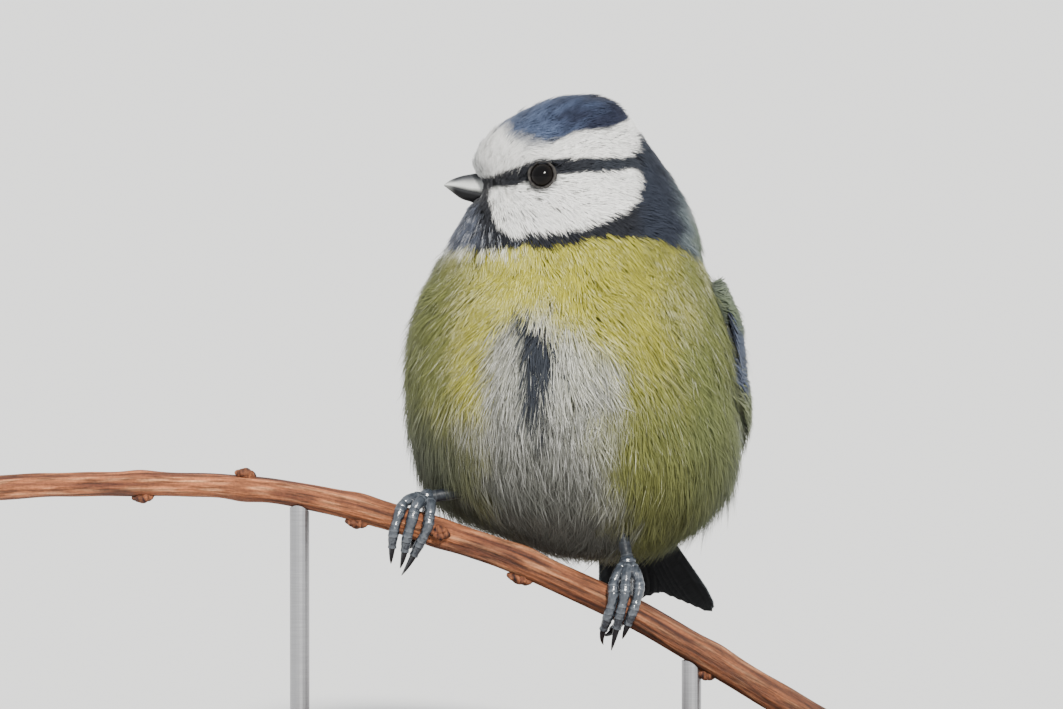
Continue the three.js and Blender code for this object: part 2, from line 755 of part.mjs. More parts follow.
for (const [side, foot] of Object.entries(FEET)) {
  node(`tarsus_${side}`, tarsus(foot).subtract(coatClear), MATERIALS.leg);
  node(`foot_${side}`, footSolid(foot).subtract(twigClear), MATERIALS.leg);
  foot.claws.forEach((_, k) => {
    node(`claw_${side}_${k + 1}`, claw(foot, k).subtract(twigClear), MATERIALS.claw);
  });
}

node("perch_twig", join([twig(), ...BUDS.map(bud)]), MATERIALS.bark);
node("stand_base", standBase(), MATERIALS.wood);
ROD_X.forEach((x, k) => node(`stand_rod_${k + 1}`, rod(x), MATERIALS.rod));

export default bird;
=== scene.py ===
"""A blue tit, fluffed up, on a sloping twig over a plain display stand."""
import math

import bpy
import numpy as np
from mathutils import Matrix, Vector

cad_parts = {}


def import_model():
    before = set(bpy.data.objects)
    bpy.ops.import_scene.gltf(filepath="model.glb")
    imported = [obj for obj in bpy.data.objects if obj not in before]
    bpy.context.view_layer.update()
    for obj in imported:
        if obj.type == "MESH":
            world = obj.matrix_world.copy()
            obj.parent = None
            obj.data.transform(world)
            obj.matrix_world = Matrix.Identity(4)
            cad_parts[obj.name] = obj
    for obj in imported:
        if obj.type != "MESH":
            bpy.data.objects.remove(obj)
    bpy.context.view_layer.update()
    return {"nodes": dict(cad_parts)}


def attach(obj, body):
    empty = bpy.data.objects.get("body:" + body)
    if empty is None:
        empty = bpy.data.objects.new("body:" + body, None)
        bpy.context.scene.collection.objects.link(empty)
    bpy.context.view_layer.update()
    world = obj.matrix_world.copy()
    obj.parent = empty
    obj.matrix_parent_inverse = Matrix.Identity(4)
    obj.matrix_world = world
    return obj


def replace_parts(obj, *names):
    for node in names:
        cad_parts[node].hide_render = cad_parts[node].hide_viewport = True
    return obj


MM = 0.001
TAU = 2 * math.pi
rng = np.random.default_rng(7)

# Place and heading of the body, as in the solids (millimetres)
CENTRE = np.array([10.0, 3.0, 60.5])
HEADING = math.radians(13)
FORWARD = np.array([-math.sin(HEADING), -math.cos(HEADING), 0.0])
LEFT = np.array([math.cos(HEADING), -math.sin(HEADING), 0.0])
UP = np.array([0.0, 0.0, 1.0])

# Outline of the coat: height, then its reach to the left, right, front and back
COAT_LEVELS = np.array([
    [-24.3, 2.8, 2.8, 2, 2],
    [-23.7, -2.8, 8.6, -1.6, 6.5],
    [-22.3, -8.6, 14.2, -5.6, 12],
    [-20.2, -13.6, 17.9, -9.5, 17.4],
    [-16, -20.4, 22, -15, 23.8],
    [-10, -24.6, 24.7, -21.3, 27.2],
    [-3, -26, 25.2, -25, 28],
    [4.5, -26.4, 24.5, -25.9, 26],
    [11.5, -25.6, 23.6, -24.9, 21.8],
    [17.5, -23.6, 21.2, -22.9, 15.6],
    [22.5, -20.9, 19.3, -20.4, 10.9],
    [26.5, -18.7, 18.4, -19, 9.1],
    [30, -16.6, 17.1, -18.3, 8.4],
    [33, -14.9, 15.4, -17.6, 7.7],
    [36.5, -15.9, 13.1, -16.6, 6.7],
    [40.5, -14.1, 10.2, -15, 5],
    [44, -9.6, 7.3, -12.3, 2.3],
    [46.4, -4.1, 4.6, -9, -1.2],
    [47.2, 0.9, 0.9, -5, -5],
])
# Share by which the flanks are tucked in, and the heights where that starts, is full, fades and ends
WING_TUCK = (0.085, [-18, -8, 14, 22])
# Depth of the coat over the skin, by height
COAT_DEPTH = ([-24, -10, 12, 22, 28, 34, 42, 47], [2.8, 3.4, 3.2, 2.4, 1.6, 1.1, 1.1, 1.2])

# Tail, with its half width at root and tip. Rump: distance along it, half width and half height
TAIL_ROOT = np.array([4.6, 18, -7.1])
TAIL_PITCH = math.radians(34)
TAIL_ROLL = math.radians(3)
TAIL_START, TAIL_LENGTH, TAIL_NOTCH = 22.3, 50.5, 2.6
TAIL_HALVES = (4.7, 10.3)
RECTRICES = {"count": 12, "root": 1.7, "tip": 2.7, "step": 0.3}
RUMP_LEVELS = np.array([[-2, 12, 9], [5, 12, 10.2], [10, 10.6, 8.6], [16, 8, 5], [22, 5.2, 2.1]])

# Folded wing: its edges, forward, outward and up of the body's centre
WING_LOWER = np.array([[1.5, 22.2, 3.5], [-14, 20.6, -7], [-30, 14, -15.5], [-43, 5.2, -20]])
WING_UPPER = np.array([[3, 18.8, 17], [-13, 16, 13], [-28, 9.2, 0.5], [-42, 3.8, -18.3]])
WING_BULGE = 0.9
WING_ROUNDING = 0.08
SHINGLE = 0.38
# Tiers of vanes: count, (s, t) of the first and last root and tip, half width and height over the sheet
WING_TIERS = [
    ("primary", 9, (0.27, 0.14), (0.27, 0.4), (1.0, 0.5), (0.74, 0.5), 2.3, 0.0),
    ("secondary", 7, (0.26, 0.42), (0.26, 0.8), (0.82, 0.5), (0.66, 0.88), 2.6, 0.25),
    ("tertial", 3, (0.26, 0.82), (0.24, 0.96), (0.66, 0.84), (0.52, 0.98), 3.0, 0.5),
    ("primary_covert", 5, (0.16, 0.1), (0.16, 0.28), (0.5, 0.04), (0.42, 0.26), 1.8, 0.45),
    ("greater_covert", 9, (0.12, 0.22), (0.12, 0.92), (0.4, 0.2), (0.38, 0.96), 2.1, 0.65),
    ("median_covert", 9, (0.04, 0.2), (0.04, 0.86), (0.23, 0.14), (0.22, 0.92), 2.0, 0.85),
    ("lesser_covert", 8, (-0.02, 0.24), (-0.02, 0.82), (0.13, 0.2), (0.13, 0.88), 1.9, 0.95),
]

# Twig: x and z of its middle line, and its radius
TWIG_Y = -9.0
TWIG_LINE = np.array([
    [-90.5, -13.1, 1.95], [-79.5, -12.5, 1.85], [-61, -12.4, 1.85], [-51.5, -12.8, 1.9],
    [-42.6, -14, 1.95], [-28.7, -17.4, 2.05], [-21, -19.9, 2.2], [-11.8, -23, 2.25],
    [-2.6, -26.9, 2.3], [9.7, -32.7, 2.3], [18.9, -38.2, 2.3], [28.2, -43.8, 2.35], [38.6, -50, 2.35],
])
# Buds: x, way out of the twig (1 above, -1 below, near 0 in front) and length
BUDS = [(-67, -1, 3.2), (-51.2, 1, 3.0), (-33.6, -1, 3.4), (-8.4, -0.9, 4.6), (20.6, -1, 2.6),
        (-21.4, 0.1, 2.8)]

# Feet: x and z on the twig, and points right, up and towards the front from its middle line
TOE_RADIUS = 0.85
TARSUS_RADIUS = 0.95
PAD_RADIUS = 1.3
CLAW_RADIUS = 0.52
FEET = {
    "l": {
        "at": (6.9, -31.1),
        "pad": (0.8, 6.7, 0.4),
        "tarsus": [(0.8, 7.2, 0.3), (0.1, 10.6, -0.6), (-0.6, 14.5, -3)],
        "toes": [
            [(0.9, 6.2, -0.9), (0.9, 3.4, -3.4), (0.6, 0.3, -3.9), (-0.3, -2.5, -3.2), (-1.4, -3.8, -1.3)],
            [(0.2, 6.4, 1), (-1.3, 3.9, 3), (-1.5, 1.2, 3.7), (-2.2, -1.3, 3.6), (-2.9, -3.4, 2.5)],
            [(0.8, 6.4, 1.2), (0.5, 4.5, 3), (0.3, 2, 3.9), (-0.3, -0.6, 3.9), (-0.9, -3.2, 3)],
            [(1.3, 6.4, 0.9), (2.5, 3.9, 2.7), (2.2, 1.4, 3.6), (1.5, -0.7, 3.8), (0.8, -2.6, 3.3)],
        ],
        "claws": [(-2.9, -4.4, 1.1), (-2.9, -5.9, 0.4), (-1.7, -6.7, 1.3), (0, -4.9, 1.6)],
    },
    "r": {
        "at": (-25.6, -18.3),
        "pad": (2.6, 3.9, 0.3),
        "tarsus": [(3.1, 4, 0.2), (7, 4.6, -0.5), (12, 5.6, -3)],
        "toes": [
            [(2.4, 3.6, -1), (2.6, 1.9, -3), (2.2, -0.6, -3.5), (1.2, -2.5, -2.6), (0.2, -3.4, -1)],
            [(3, 3.6, 1), (3.1, 1.7, 3), (2.6, -0.8, 3.6), (1.5, -3, 3.2), (0.6, -4.8, 2.5)],
            [(2, 3.9, 1.1), (0.9, 2.6, 2.9), (0.3, 0.4, 3.6), (-0.4, -2, 3.5), (-0.8, -4.2, 2.9)],
            [(1.6, 4, 0.6), (-0.7, 3.3, 2.1), (-1.9, 0.8, 3.4), (-2.5, -1.6, 3.6), (-2.7, -3.6, 3.1)],
        ],
        "claws": [(-1.2, -3.9, 0.9), (-1.3, -8, 1.2), (-1.5, -6.9, 1.2), (-2.9, -6.2, 1.4)],
    },
}

# Head, and the height that a view from 3 degrees up adds to what is nearer
HEAD_Y = -5.0
VIEW_RISE = 0.052
EYE_XZ = (-5.5, 35.1)
EYE_RADIUS = 2.1
EYE_DEPTH = 1.25
# Radii between which the pupil ends, and between which the iris darkens
PUPIL_EDGE = (1.15, 1.3)
IRIS_RIM = (1.75, 1.9)
BILL_BASE = np.array([-11.0, HEAD_Y, 32.6])
# Bill: x, then the heights of culmen, mouth and chin, and half its width
BILL_LEVELS = np.array([
    [-9.5, 35.1, 31.2, 29.8, 2.2],
    [-12.5, 35.2, 31.8, 29.9, 2.0],
    [-15, 35.1, 32.3, 30.3, 1.65],
    [-16.3, 34.9, 32.5, 30.7, 1.42],
    [-17.8, 34.6, 32.8, 31.2, 1.1],
    [-19.3, 34.05, 33.1, 32.3, 0.62],
    [-20.1, 33.5, 33.25, 32.95, 0.28],
    [-20.4, 33.28, 33.2, 33.12, 0.06],
])

# Markings, as outlines over x and z about the body's centre, seen from in front
CHEEK = [(-13.4, 33.1), (-9, 32.9), (-6, 33), (-2.6, 34.6), (0.5, 34.9), (3.5, 35), (6.8, 35.1),
         (8.6, 35.5), (9.7, 34.6), (9.9, 32.6), (9.1, 30.6), (7.2, 28.6), (4.2, 27.2), (0.8, 25.9),
         (-3.2, 25.3), (-7.6, 25.2), (-10.2, 24.6), (-12, 26.3), (-13, 28.6), (-13.6, 30.8)]
CROWN_EDGE = ([-13.5, -11.6, -8.7, -4.8, -1.9, 1.3, 5.2, 7.5, 11],
              [43.2, 41.6, 39.6, 38.9, 40.2, 41.4, 41.9, 43.0, 43.6])
STRIPE_TOP = ([-13.2, -11, -7.7, -2.6, 0.5, 6.6, 9], [34.3, 35, 36.1, 36.9, 36.9, 36.9, 37.4])
STRIPE_LOW = ([-13.2, -11, -7.7, -2.6, 0.5, 3.5, 6.6, 9], [32.3, 32.5, 33.1, 34.4, 34.8, 34.9, 35, 35.5])
BROW_END = 9.6
COLLAR_LOW = ([-20, -10.6, -6.9, -3.5, -1.4, 3.1, 6, 9.7, 13.4, 15.2, 18.6],
              [22.8, 22.8, 22.8, 23.2, 23.7, 24.4, 24.6, 24.6, 24, 23.1, 21.3])
STRIPE_MIDDLE = ([-8, -4, 0, 5, 9.6, 11.5, 12.5, 14], [-0.2, -0.4, -0.5, -0.4, -0.5, -1.2, -3, -4.9])
STRIPE_HALF = ([-11, -8, -4, 0, 5, 9.6, 11.5, 12.5, 14, 15],
               [0, 0.3, 0.8, 1.7, 2.5, 3, 2.8, 1.6, 0.7, 0.2])
WHITE_BELLY = ([-24, -10, -3.4, 3, 9, 12.8, 15], [10.5, 10.5, 10, 8.8, 7.4, 5, 2])
EDGE_SOFTNESS = 0.3

# Colours, sRGB
CROWN_BLUE = (67, 79, 104)
CROWN_DARK = (23, 28, 46)
WHITE = (248, 248, 244)
INK = (23, 25, 31)
NAPE = (31, 36, 47)
NAPE_EDGE = (96, 106, 108)
YELLOW = (152, 148, 50)
LEMON = (162, 156, 44)
OLIVE = (86, 93, 52)
MANTLE = (72, 84, 57)
BELLY = (166, 167, 158)
# Grey of the lower flanks, with painted shade on the left side
FLANK_GREY_SHADED = (84, 88, 72)
# Grey that the white belly turns to low down: painted shade. The coverts under the tail mix it in too
VENT = (108, 109, 102)
SLATE = (34, 38, 45)
BIB_EDGE = (84, 90, 105)
BEAD_GREY = (150, 156, 166)
RUMP_GREEN = (88, 97, 66)
COVERT_GREY = (120, 122, 112)
WING_BLUE = (42, 54, 76)
WING_SLATE = (42, 48, 59)
FEATHER_EDGE = (122, 129, 132)
TAIL_BLUE = (48, 60, 84)
# Dark grey of the feathers' undersides, darkened further with painted shade
SHADED_UNDERSIDE = (19, 20, 22)
PUPIL = (6, 5, 5)
IRIS = (13, 10, 8)
LID = (18, 17, 18)
LID_PALE = (120, 116, 110)
HORN = (70, 71, 74)
HORN_PALE = (178, 180, 177)
HORN_DARK = (8, 8, 10)
LEG = (46, 51, 58)
# Darker and paler tones of the legs: painted shade and painted highlights on the scutes
LEG_IN_SHADE = (20, 22, 27)
LEG_HIGHLIGHT = (106, 112, 119)
CLAW = (26, 27, 31)
BARK = (124, 74, 46)
BARK_DARK = (62, 32, 22)
BARK_PALE = (165, 120, 86)
WOOD = (150, 120, 84)
BASE_DARK = (50, 30, 19)
BASE_PALE = (96, 65, 41)

# Rows and sides of the meshes
GRID = {
    "skin": (150, 180), "rump": (30, 60), "wing_bed": (40, 14), "web": (22, 7), "shaft": (26, 6),
    "eyeball": (48, 64), "lids": (120, 14), "bill": (60, 36), "shank": (90, 24), "toe": (110, 24),
    "pad": (24, 32), "claw": (34, 18), "twig": (460, 64), "bud": (18, 24),
}

# Small feathers, by height: barb length, half width (mm) and barbs in each square millimetre
BARB_LENGTH = ([-24, -8, 12, 20, 27, 33, 47], [6.5, 7.5, 6.4, 4.8, 3.4, 3, 3])
BARB_WIDTH = ([-24, 12, 24, 34, 47], [0.085, 0.085, 0.073, 0.064, 0.064])
BARB_DENSITY = ([-24, 12, 22, 30, 47], [16, 16, 22, 30, 30])
BARBS_IN_TUFT = 9
# Power of the curve in which a barb rises from the skin
BARB_ARCH = 2.2
# How far a tuft takes its tint from beside it, by height
BARB_STRAY = ([20, 24, 27], [1.0, 0.3, 0.12])
# Share of the body's tufts that are longer, and by how much
STRAND_SHARE = 0.2
STRAND_EXTRA = 0.45
# Tint below which a barb goes to the dark pieces
DARK_TINT = 0.11
PIECE_TRIANGLES = 190000
# Painted shade that darkens the underside, and stretch of the streaks
UNDERSIDE_SHADE = 0.36
STREAK_SHAPE = [1, 1, 0.22]

# Face: the eye's opening and lids, where the bill comes out of the feathers, and how far they keep off it
EYE_OPENING = 1.83
EYE_RING = 0.22
BILL_SHOWS = -12.6
BILL_CLEARANCE = 1.2
FACE = BILL_BASE - [3, 0, 0]


# Small tools

def linear(color):
    """Linear light from an sRGB colour."""
    c = np.asarray(color, float) / 255
    return np.where(c <= 0.04045, c / 12.92, ((c + 0.055) / 1.055) ** 2.4)


def flat(color, shape):
    return np.broadcast_to(linear(color), shape)


def fade(low, high, x):
    """0 before low, 1 past high, and smooth between."""
    t = np.clip((x - low) / (high - low), 0, 1)
    return t * t * (3 - 2 * t)


def unit(v):
    return v / np.maximum(np.linalg.norm(v, axis=-1, keepdims=True), 1e-9)


def lerp(a, b, t):
    return a + (b - a) * t


def circle(count):
    """Angles at even steps round a circle."""
    return np.arange(count) / count * TAU


def round_grid(along, count):
    return np.meshgrid(along, circle(count), indexing="ij")


def loft_grid(name):
    """Shares from 0 to 1 along a form, and angles round it."""
    rows, sides = GRID[name]
    return round_grid(np.linspace(0, 1, rows), sides)


def globe(name, edge):
    """Coordinates across and along an axis, over a unit ball open by an edge at its poles."""
    rows, sides = GRID[name]
    polar, turn = round_grid(np.linspace(edge, math.pi - edge, rows), sides)
    return np.sin(polar) * np.cos(turn), np.sin(polar) * np.sin(turn), np.cos(polar)


def rotate(v, axis, angle):
    c, s = np.cos(angle)[..., None], np.sin(angle)[..., None]
    return v * c + np.cross(axis, v) * s + axis * np.sum(axis * v, -1, keepdims=True) * (1 - c)


def mottle(p, wavelength, seed=1):
    """A smooth random field of about -1 to 1, from waves in random directions."""
    source = np.random.default_rng(seed)
    total = np.zeros(p.shape[:-1])
    for _ in range(7):
        wave = unit(source.normal(size=3)) * TAU / (wavelength * source.uniform(0.7, 1.5))
        total += np.sin(p @ wave + source.uniform(0, TAU))
    return total / 2.6


def along_rows(rows, t):
    """Catmull-Rom interpolation of rows of numbers, at t from 0 to 1."""
    place = np.clip(t, 0, 1) * (len(rows) - 1)
    i = np.minimum(place.astype(int), len(rows) - 2)
    f = (place - i)[..., None]
    a, b = rows[np.maximum(i - 1, 0)], rows[i]
    c, d = rows[i + 1], rows[np.minimum(i + 2, len(rows) - 1)]
    return b + 0.5 * f * (c - a + f * (2 * a - 5 * b + 4 * c - d + f * (3 * (b - c) + d - a)))


def smooth_curve(points, steps=60):
    """Samples of a centripetal Catmull-Rom curve, at even steps of its parameter."""
    points = np.asarray(points, float)
    ends = [2 * points[0] - points[1], *points, 2 * points[-1] - points[-2]]
    f = np.arange(steps)[:, None] / steps
    samples = []
    for a, b, c, d in zip(ends, ends[1:], ends[2:], ends[3:]):
        d0, d1, d2 = (np.linalg.norm(q - p) ** 0.5 for p, q in ((a, b), (b, c), (c, d)))
        m1 = ((b - a) / d0 - (c - a) / (d0 + d1) + (c - b) / d1) * d1
        m2 = ((c - b) / d1 - (d - b) / (d1 + d2) + (d - c) / d2) * d1
        samples.append(b + f * (m1 + f * (3 * (c - b) - 2 * m1 - m2 + f * (2 * (b - c) + m1 + m2))))
    return np.concatenate([*samples, points[-1:]])


def even_curve(points, count):
    """Points at even distances along a smooth curve through the given points."""
    samples = smooth_curve(points)
    steps = np.linalg.norm(np.diff(samples, axis=0), axis=1)
    travelled = np.concatenate([[0], np.cumsum(steps)])
    wanted = np.linspace(0, travelled[-1], count)
    return np.stack([np.interp(wanted, travelled, samples[:, k]) for k in range(3)], axis=-1)


# Meshes

def floats(values):
    return np.asarray(values).astype(np.float32).ravel()


def link(thing):
    bpy.context.scene.collection.objects.link(thing)
    return thing


def mesh_object(name, vertices, faces, material, uv=None, color=None, place=None, normals=None):
    """A piece from vertices in millimetres and triangles or quads of equal size."""
    faces = np.asarray(faces, dtype=np.int32)
    mesh = bpy.data.meshes.new(name)
    mesh.vertices.add(len(vertices))
    mesh.vertices.foreach_set("co", floats(np.asarray(vertices) * MM))
    mesh.loops.add(faces.size)
    mesh.loops.foreach_set("vertex_index", faces.ravel())
    mesh.polygons.add(len(faces))
    mesh.polygons.foreach_set("loop_start", np.arange(0, faces.size, faces.shape[1], dtype=np.int32))
    mesh.polygons.foreach_set("use_smooth", np.ones(len(faces), bool))
    mesh.update(calc_edges=True)
    if uv is not None:
        mesh.uv_layers.new(name="OFBake").data.foreach_set("uv", floats(uv[faces.ravel()]))
    if color is not None:
        rgba = np.concatenate([color, np.ones((len(color), 1))], axis=1)
        mesh.color_attributes.new("Tint", "FLOAT_COLOR", "POINT").data.foreach_set("color", floats(rgba))
    if place is not None:
        mesh.attributes.new("Place", "FLOAT_VECTOR", "POINT").data.foreach_set("vector", floats(place))
    if normals is not None:
        mesh.normals_split_custom_set_from_vertices(normals.astype(np.float32))
    mesh.materials.append(material)
    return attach(link(bpy.data.objects.new(name, mesh)), "root")


class Heap:
    """Closed forms, each turned to face outwards, gathered into one piece."""

    def __init__(self):
        self.parts = []
        self.count = 0

    def add(self, points, faces, **layers):
        a, b, c = (points[faces[:, k]] for k in range(3))
        if np.sum(np.cross(a - points[0], b - points[0]) * (c - points[0])) < 0:
            faces = faces[:, ::-1]
        self.parts.append((points, faces + self.count, layers))
        self.count += len(points)

    def piece(self, name, material):
        points = np.concatenate([part[0] for part in self.parts])
        faces = np.concatenate([part[1] for part in self.parts])
        keys = self.parts[0][2]
        layers = {key: np.concatenate([part[2][key] for part in self.parts]) for key in keys}
        return mesh_object(name, points + CENTRE, faces, material, **layers)


def grid_faces(rows, columns, wrap=True):
    """Quads between rows of points, closed round each row where wrap is set."""
    i = np.arange(rows - 1)[:, None]
    k = np.arange(columns if wrap else columns - 1)[None, :]
    a = i * columns + k
    b = i * columns + (k + 1) % columns
    return np.stack([a, b, b + columns, a + columns], axis=-1).reshape(-1, 4)


def halves(quads):
    return np.concatenate([quads[:, [0, 1, 2]], quads[:, [0, 2, 3]]])


def with_ends(rings):
    """Rows of points or colours as one list, then the means of the first and the last row."""
    return np.concatenate([rings.reshape(-1, 3), rings[:1].mean(axis=1), rings[-1:].mean(axis=1)])


def lofted(rings):
    """Points and triangles of a closed form through rings of points."""
    rows, sides = rings.shape[:2]
    k = np.arange(sides)
    after = (k + 1) % sides
    base = (rows - 1) * sides
    first = np.stack([after, k, np.full(sides, rows * sides)], axis=1)
    last = np.stack([base + k, base + after, np.full(sides, rows * sides + 1)], axis=1)
    return with_ends(rings), np.concatenate([halves(grid_faces(rows, sides)), first, last])


def tube_rings(path, radii, sides, start=UP):
    """Rings about a path. radii holds one radius for each point, or one for each corner."""
    tangents = unit(np.gradient(path, axis=0))
    normal = unit(start - tangents[0] * (start @ tangents[0]))
    angle = circle(sides)
    radii = np.broadcast_to(np.asarray(radii).reshape(len(path), -1), (len(path), sides))
    rings = []
    for middle, tangent, radius in zip(path, tangents, radii):
        normal = unit(normal - tangent * (normal @ tangent))
        binormal = np.cross(tangent, normal)
        ring = np.outer(np.cos(angle), normal) + np.outer(np.sin(angle), binormal)
        rings.append(middle + ring * radius[:, None])
    return np.array(rings)


def flat_plate(top, bottom):
    """Points and triangles of a closed plate between two grids of points."""
    rows, columns = top.shape[:2]
    count = rows * columns
    upper = halves(grid_faces(rows, columns, wrap=False))
    lower = upper[:, ::-1] + count
    border = np.concatenate([
        np.arange(columns),
        np.arange(1, rows) * columns + columns - 1,
        (rows - 1) * columns + np.arange(columns - 2, -1, -1),
        np.arange(rows - 2, 0, -1) * columns,
    ])
    after = np.roll(border, -1)
    rim = halves(np.stack([after, border, border + count, after + count], axis=1))
    points = np.concatenate([top.reshape(-1, 3), bottom.reshape(-1, 3)])
    return points, np.concatenate([upper, lower, rim])


# Form of the coat

LEVELS = along_rows(COAT_LEVELS, np.linspace(0, 1, 2400))
OUTSIDE = 9.0


def level_sizes(z):
    """How far the coat reaches to the left, right, front and back at a height."""
    return [np.interp(z, LEVELS[:, 0], LEVELS[:, k]) for k in (1, 2, 3, 4)]


def wing_tuck(z):
    """Share by which the flanks are tucked in under the wings."""
    share, (low, full, fading, high) = WING_TUCK
    return share * fade(low, full, z) * (1 - fade(fading, high, z))


def coat_point(t, angle):
    """Point and outward normal of the coat, at t up its levels and an angle round it."""
    def place(u, a):
        z, left, right, front, back = np.moveaxis(along_rows(COAT_LEVELS, u), -1, 0)
        tuck = wing_tuck(z) * fade(0, 0.4, np.sin(a))
        x = (left + right) / 2 + (right - left) / 2 * np.cos(a) * (1 - tuck)
        y = (front + back) / 2 + (back - front) / 2 * np.sin(a)
        return np.stack([x, y, z], axis=-1)

    t, angle = np.broadcast_arrays(np.asarray(t, float), np.asarray(angle, float))
    inner = np.clip(t, 0.004, 0.996)
    round_ = place(inner, angle + 0.01) - place(inner, angle - 0.01)
    up = place(inner + 0.003, angle) - place(inner - 0.003, angle)
    return place(t, angle), unit(np.cross(round_, up))


def coat_share(p):
    """1 on the coat, less inside it, at points about the body's centre."""
    x, y, z = np.moveaxis(p, -1, 0)
    left, right, front, back = level_sizes(z)
    sine = (y - (front + back) / 2) / ((back - front) / 2)
    half = (right - left) / 2 * (1 - wing_tuck(z) * fade(0, 0.4, sine))
    share = np.hypot((x - (left + right) / 2) / np.maximum(half, 0.01), sine)
    return np.where((z > LEVELS[0, 0]) & (z < LEVELS[-1, 0]), share, OUTSIDE)


def coat_depth(p):
    """Depth of the coat over the skin. It is thin on the face."""
    near = np.linalg.norm(p - FACE, axis=-1)
    return np.interp(p[..., 2], *COAT_DEPTH) * (0.4 + 0.6 * fade(2, 10, near))


# Rump and tail

TAIL_ALONG = -FORWARD * math.cos(TAIL_PITCH) - UP * math.sin(TAIL_PITCH)
TAIL_ACROSS = rotate(LEFT, TAIL_ALONG, TAIL_ROLL)
TAIL_UP = np.cross(TAIL_ACROSS, TAIL_ALONG)


def tail_point(along, across, above):
    along, across, above = (np.asarray(v, float)[..., None] for v in (along, across, above))
    return TAIL_ROOT + TAIL_ALONG * along + TAIL_ACROSS * across + TAIL_UP * above


def rump_point(t, angle):
    along, wide, high = np.moveaxis(along_rows(RUMP_LEVELS, t), -1, 0)
    point = tail_point(along, wide * np.cos(angle), high * np.sin(angle))
    round_ = TAIL_ACROSS * (np.cos(angle) / wide)[..., None] + TAIL_UP * (np.sin(angle) / high)[..., None]
    return point, unit(unit(round_) + TAIL_ALONG * 0.25)


# Folded wings

class WingSheet:
    """The outer face of one folded wing: s from front to tip, t from lower to upper edge."""
    S = np.linspace(0, 1, 141)
    T = np.linspace(-0.15, 1.15, 79)

    def __init__(self, side):
        self.side = side
        s, t = np.meshgrid(self.S, self.T, indexing="ij")
        steps = np.linspace(0, 1, 181)
        low, high = smooth_curve(WING_LOWER), smooth_curve(WING_UPPER)
        place = np.stack([
            lerp(np.interp(s, steps, low[:, k]), np.interp(s, steps, high[:, k]), t) for k in range(3)
        ], axis=-1)
        place[..., 1] += WING_BULGE * (1 - 0.4 * s) * 4 * t * (1 - t)
        beyond = self.coat_reach(place[..., 0], place[..., 2]) - place[..., 1]
        place[..., 1] += (beyond + np.hypot(beyond, 1)) / 2
        world = FORWARD * place[..., :1] + LEFT * side * place[..., 1:2] + UP * place[..., 2:]
        self.points = world
        across = np.gradient(world, axis=1)
        self.normals = unit(np.cross(np.gradient(world, axis=0), across)) * side
        self.across = unit(across)

    def coat_reach(self, forward, z):
        """How far out to this side the coat reaches, at places forward of the body's centre."""
        inside, outside = np.zeros(z.shape), np.full(z.shape, 40.0)
        for _ in range(16):
            out = (inside + outside) / 2
            place = FORWARD * forward[..., None] + LEFT * (self.side * out)[..., None]
            place[..., 2] = z
            under = coat_share(place) < 1
            inside, outside = np.where(under, out, inside), np.where(under, outside, out)
        return inside

    def at(self, table, s, t):
        i = np.clip(s, 0, 1) * (len(self.S) - 1)
        k = np.clip((t - self.T[0]) / (self.T[-1] - self.T[0]), 0, 1) * (len(self.T) - 1)
        i0, k0 = np.minimum(i.astype(int), len(self.S) - 2), np.minimum(k.astype(int), len(self.T) - 2)
        f, g = (i - i0)[..., None], (k - k0)[..., None]
        near = lerp(table[i0, k0], table[i0, k0 + 1], g)
        return lerp(near, lerp(table[i0 + 1, k0], table[i0 + 1, k0 + 1], g), f)

    def point(self, s, t, h):
        return self.at(self.points, s, t) + self.at(self.normals, s, t) * np.asarray(h)[..., None]


# Markings

def within(x, z, outline):
    """Signed distance to a closed outline, positive inside."""
    corners = np.array(outline, float)
    nearest = np.full(x.shape, 1e9)
    inside = np.zeros(x.shape, bool)
    for (x0, z0), (x1, z1) in zip(corners, np.roll(corners, -1, axis=0)):
        length2 = (x1 - x0) ** 2 + (z1 - z0) ** 2
        f = np.clip(((x - x0) * (x1 - x0) + (z - z0) * (z1 - z0)) / length2, 0, 1)
        nearest = np.minimum(nearest, np.hypot(x - x0 - f * (x1 - x0), z - z0 - f * (z1 - z0)))
        crosses = (z0 > z) != (z1 > z)
        with np.errstate(divide="ignore", invalid="ignore"):
            reach = x0 + (z - z0) / (z1 - z0) * (x1 - x0)
        inside ^= crosses & (x < reach)
    return np.where(inside, nearest, -nearest)


def mix(base, color, amount):
    return base + (linear(color) - base) * np.asarray(amount)[..., None]


def belly_markings(p, base, wander):
    """White belly, with the dark stripe down its middle, and painted shade on its left and lower parts."""
    z = p[..., 2]
    forward, left = p @ FORWARD, p @ LEFT
    half = np.interp(z, *WHITE_BELLY) + 2.6 * wander - 1.6 * fade(0, 6, left)
    white = fade(4, -4, np.abs(left) - half) * fade(17, 11.5, z + 1.5 * wander)
    white = white * fade(-4, 6, forward)
    # The white is painted darker on the left side, away from the light, and greys downwards: painted shade
    base = mix(base, BELLY, white * 0.95) * (1 - 0.42 * white * fade(0, -7, left))[..., None]
    base = mix(base, VENT, fade(9, -8, z) * white)
    middle = np.interp(z, *STRIPE_MIDDLE) + 0.35 * mottle(p, 4, 5)
    edge = np.abs(left - middle) - np.interp(z, *STRIPE_HALF)
    stripe = fade(1.0, -0.8, edge) * fade(15.5, 13, z) * fade(-12, -3, z) * (forward > 8)
    return mix(base, SLATE, stripe)


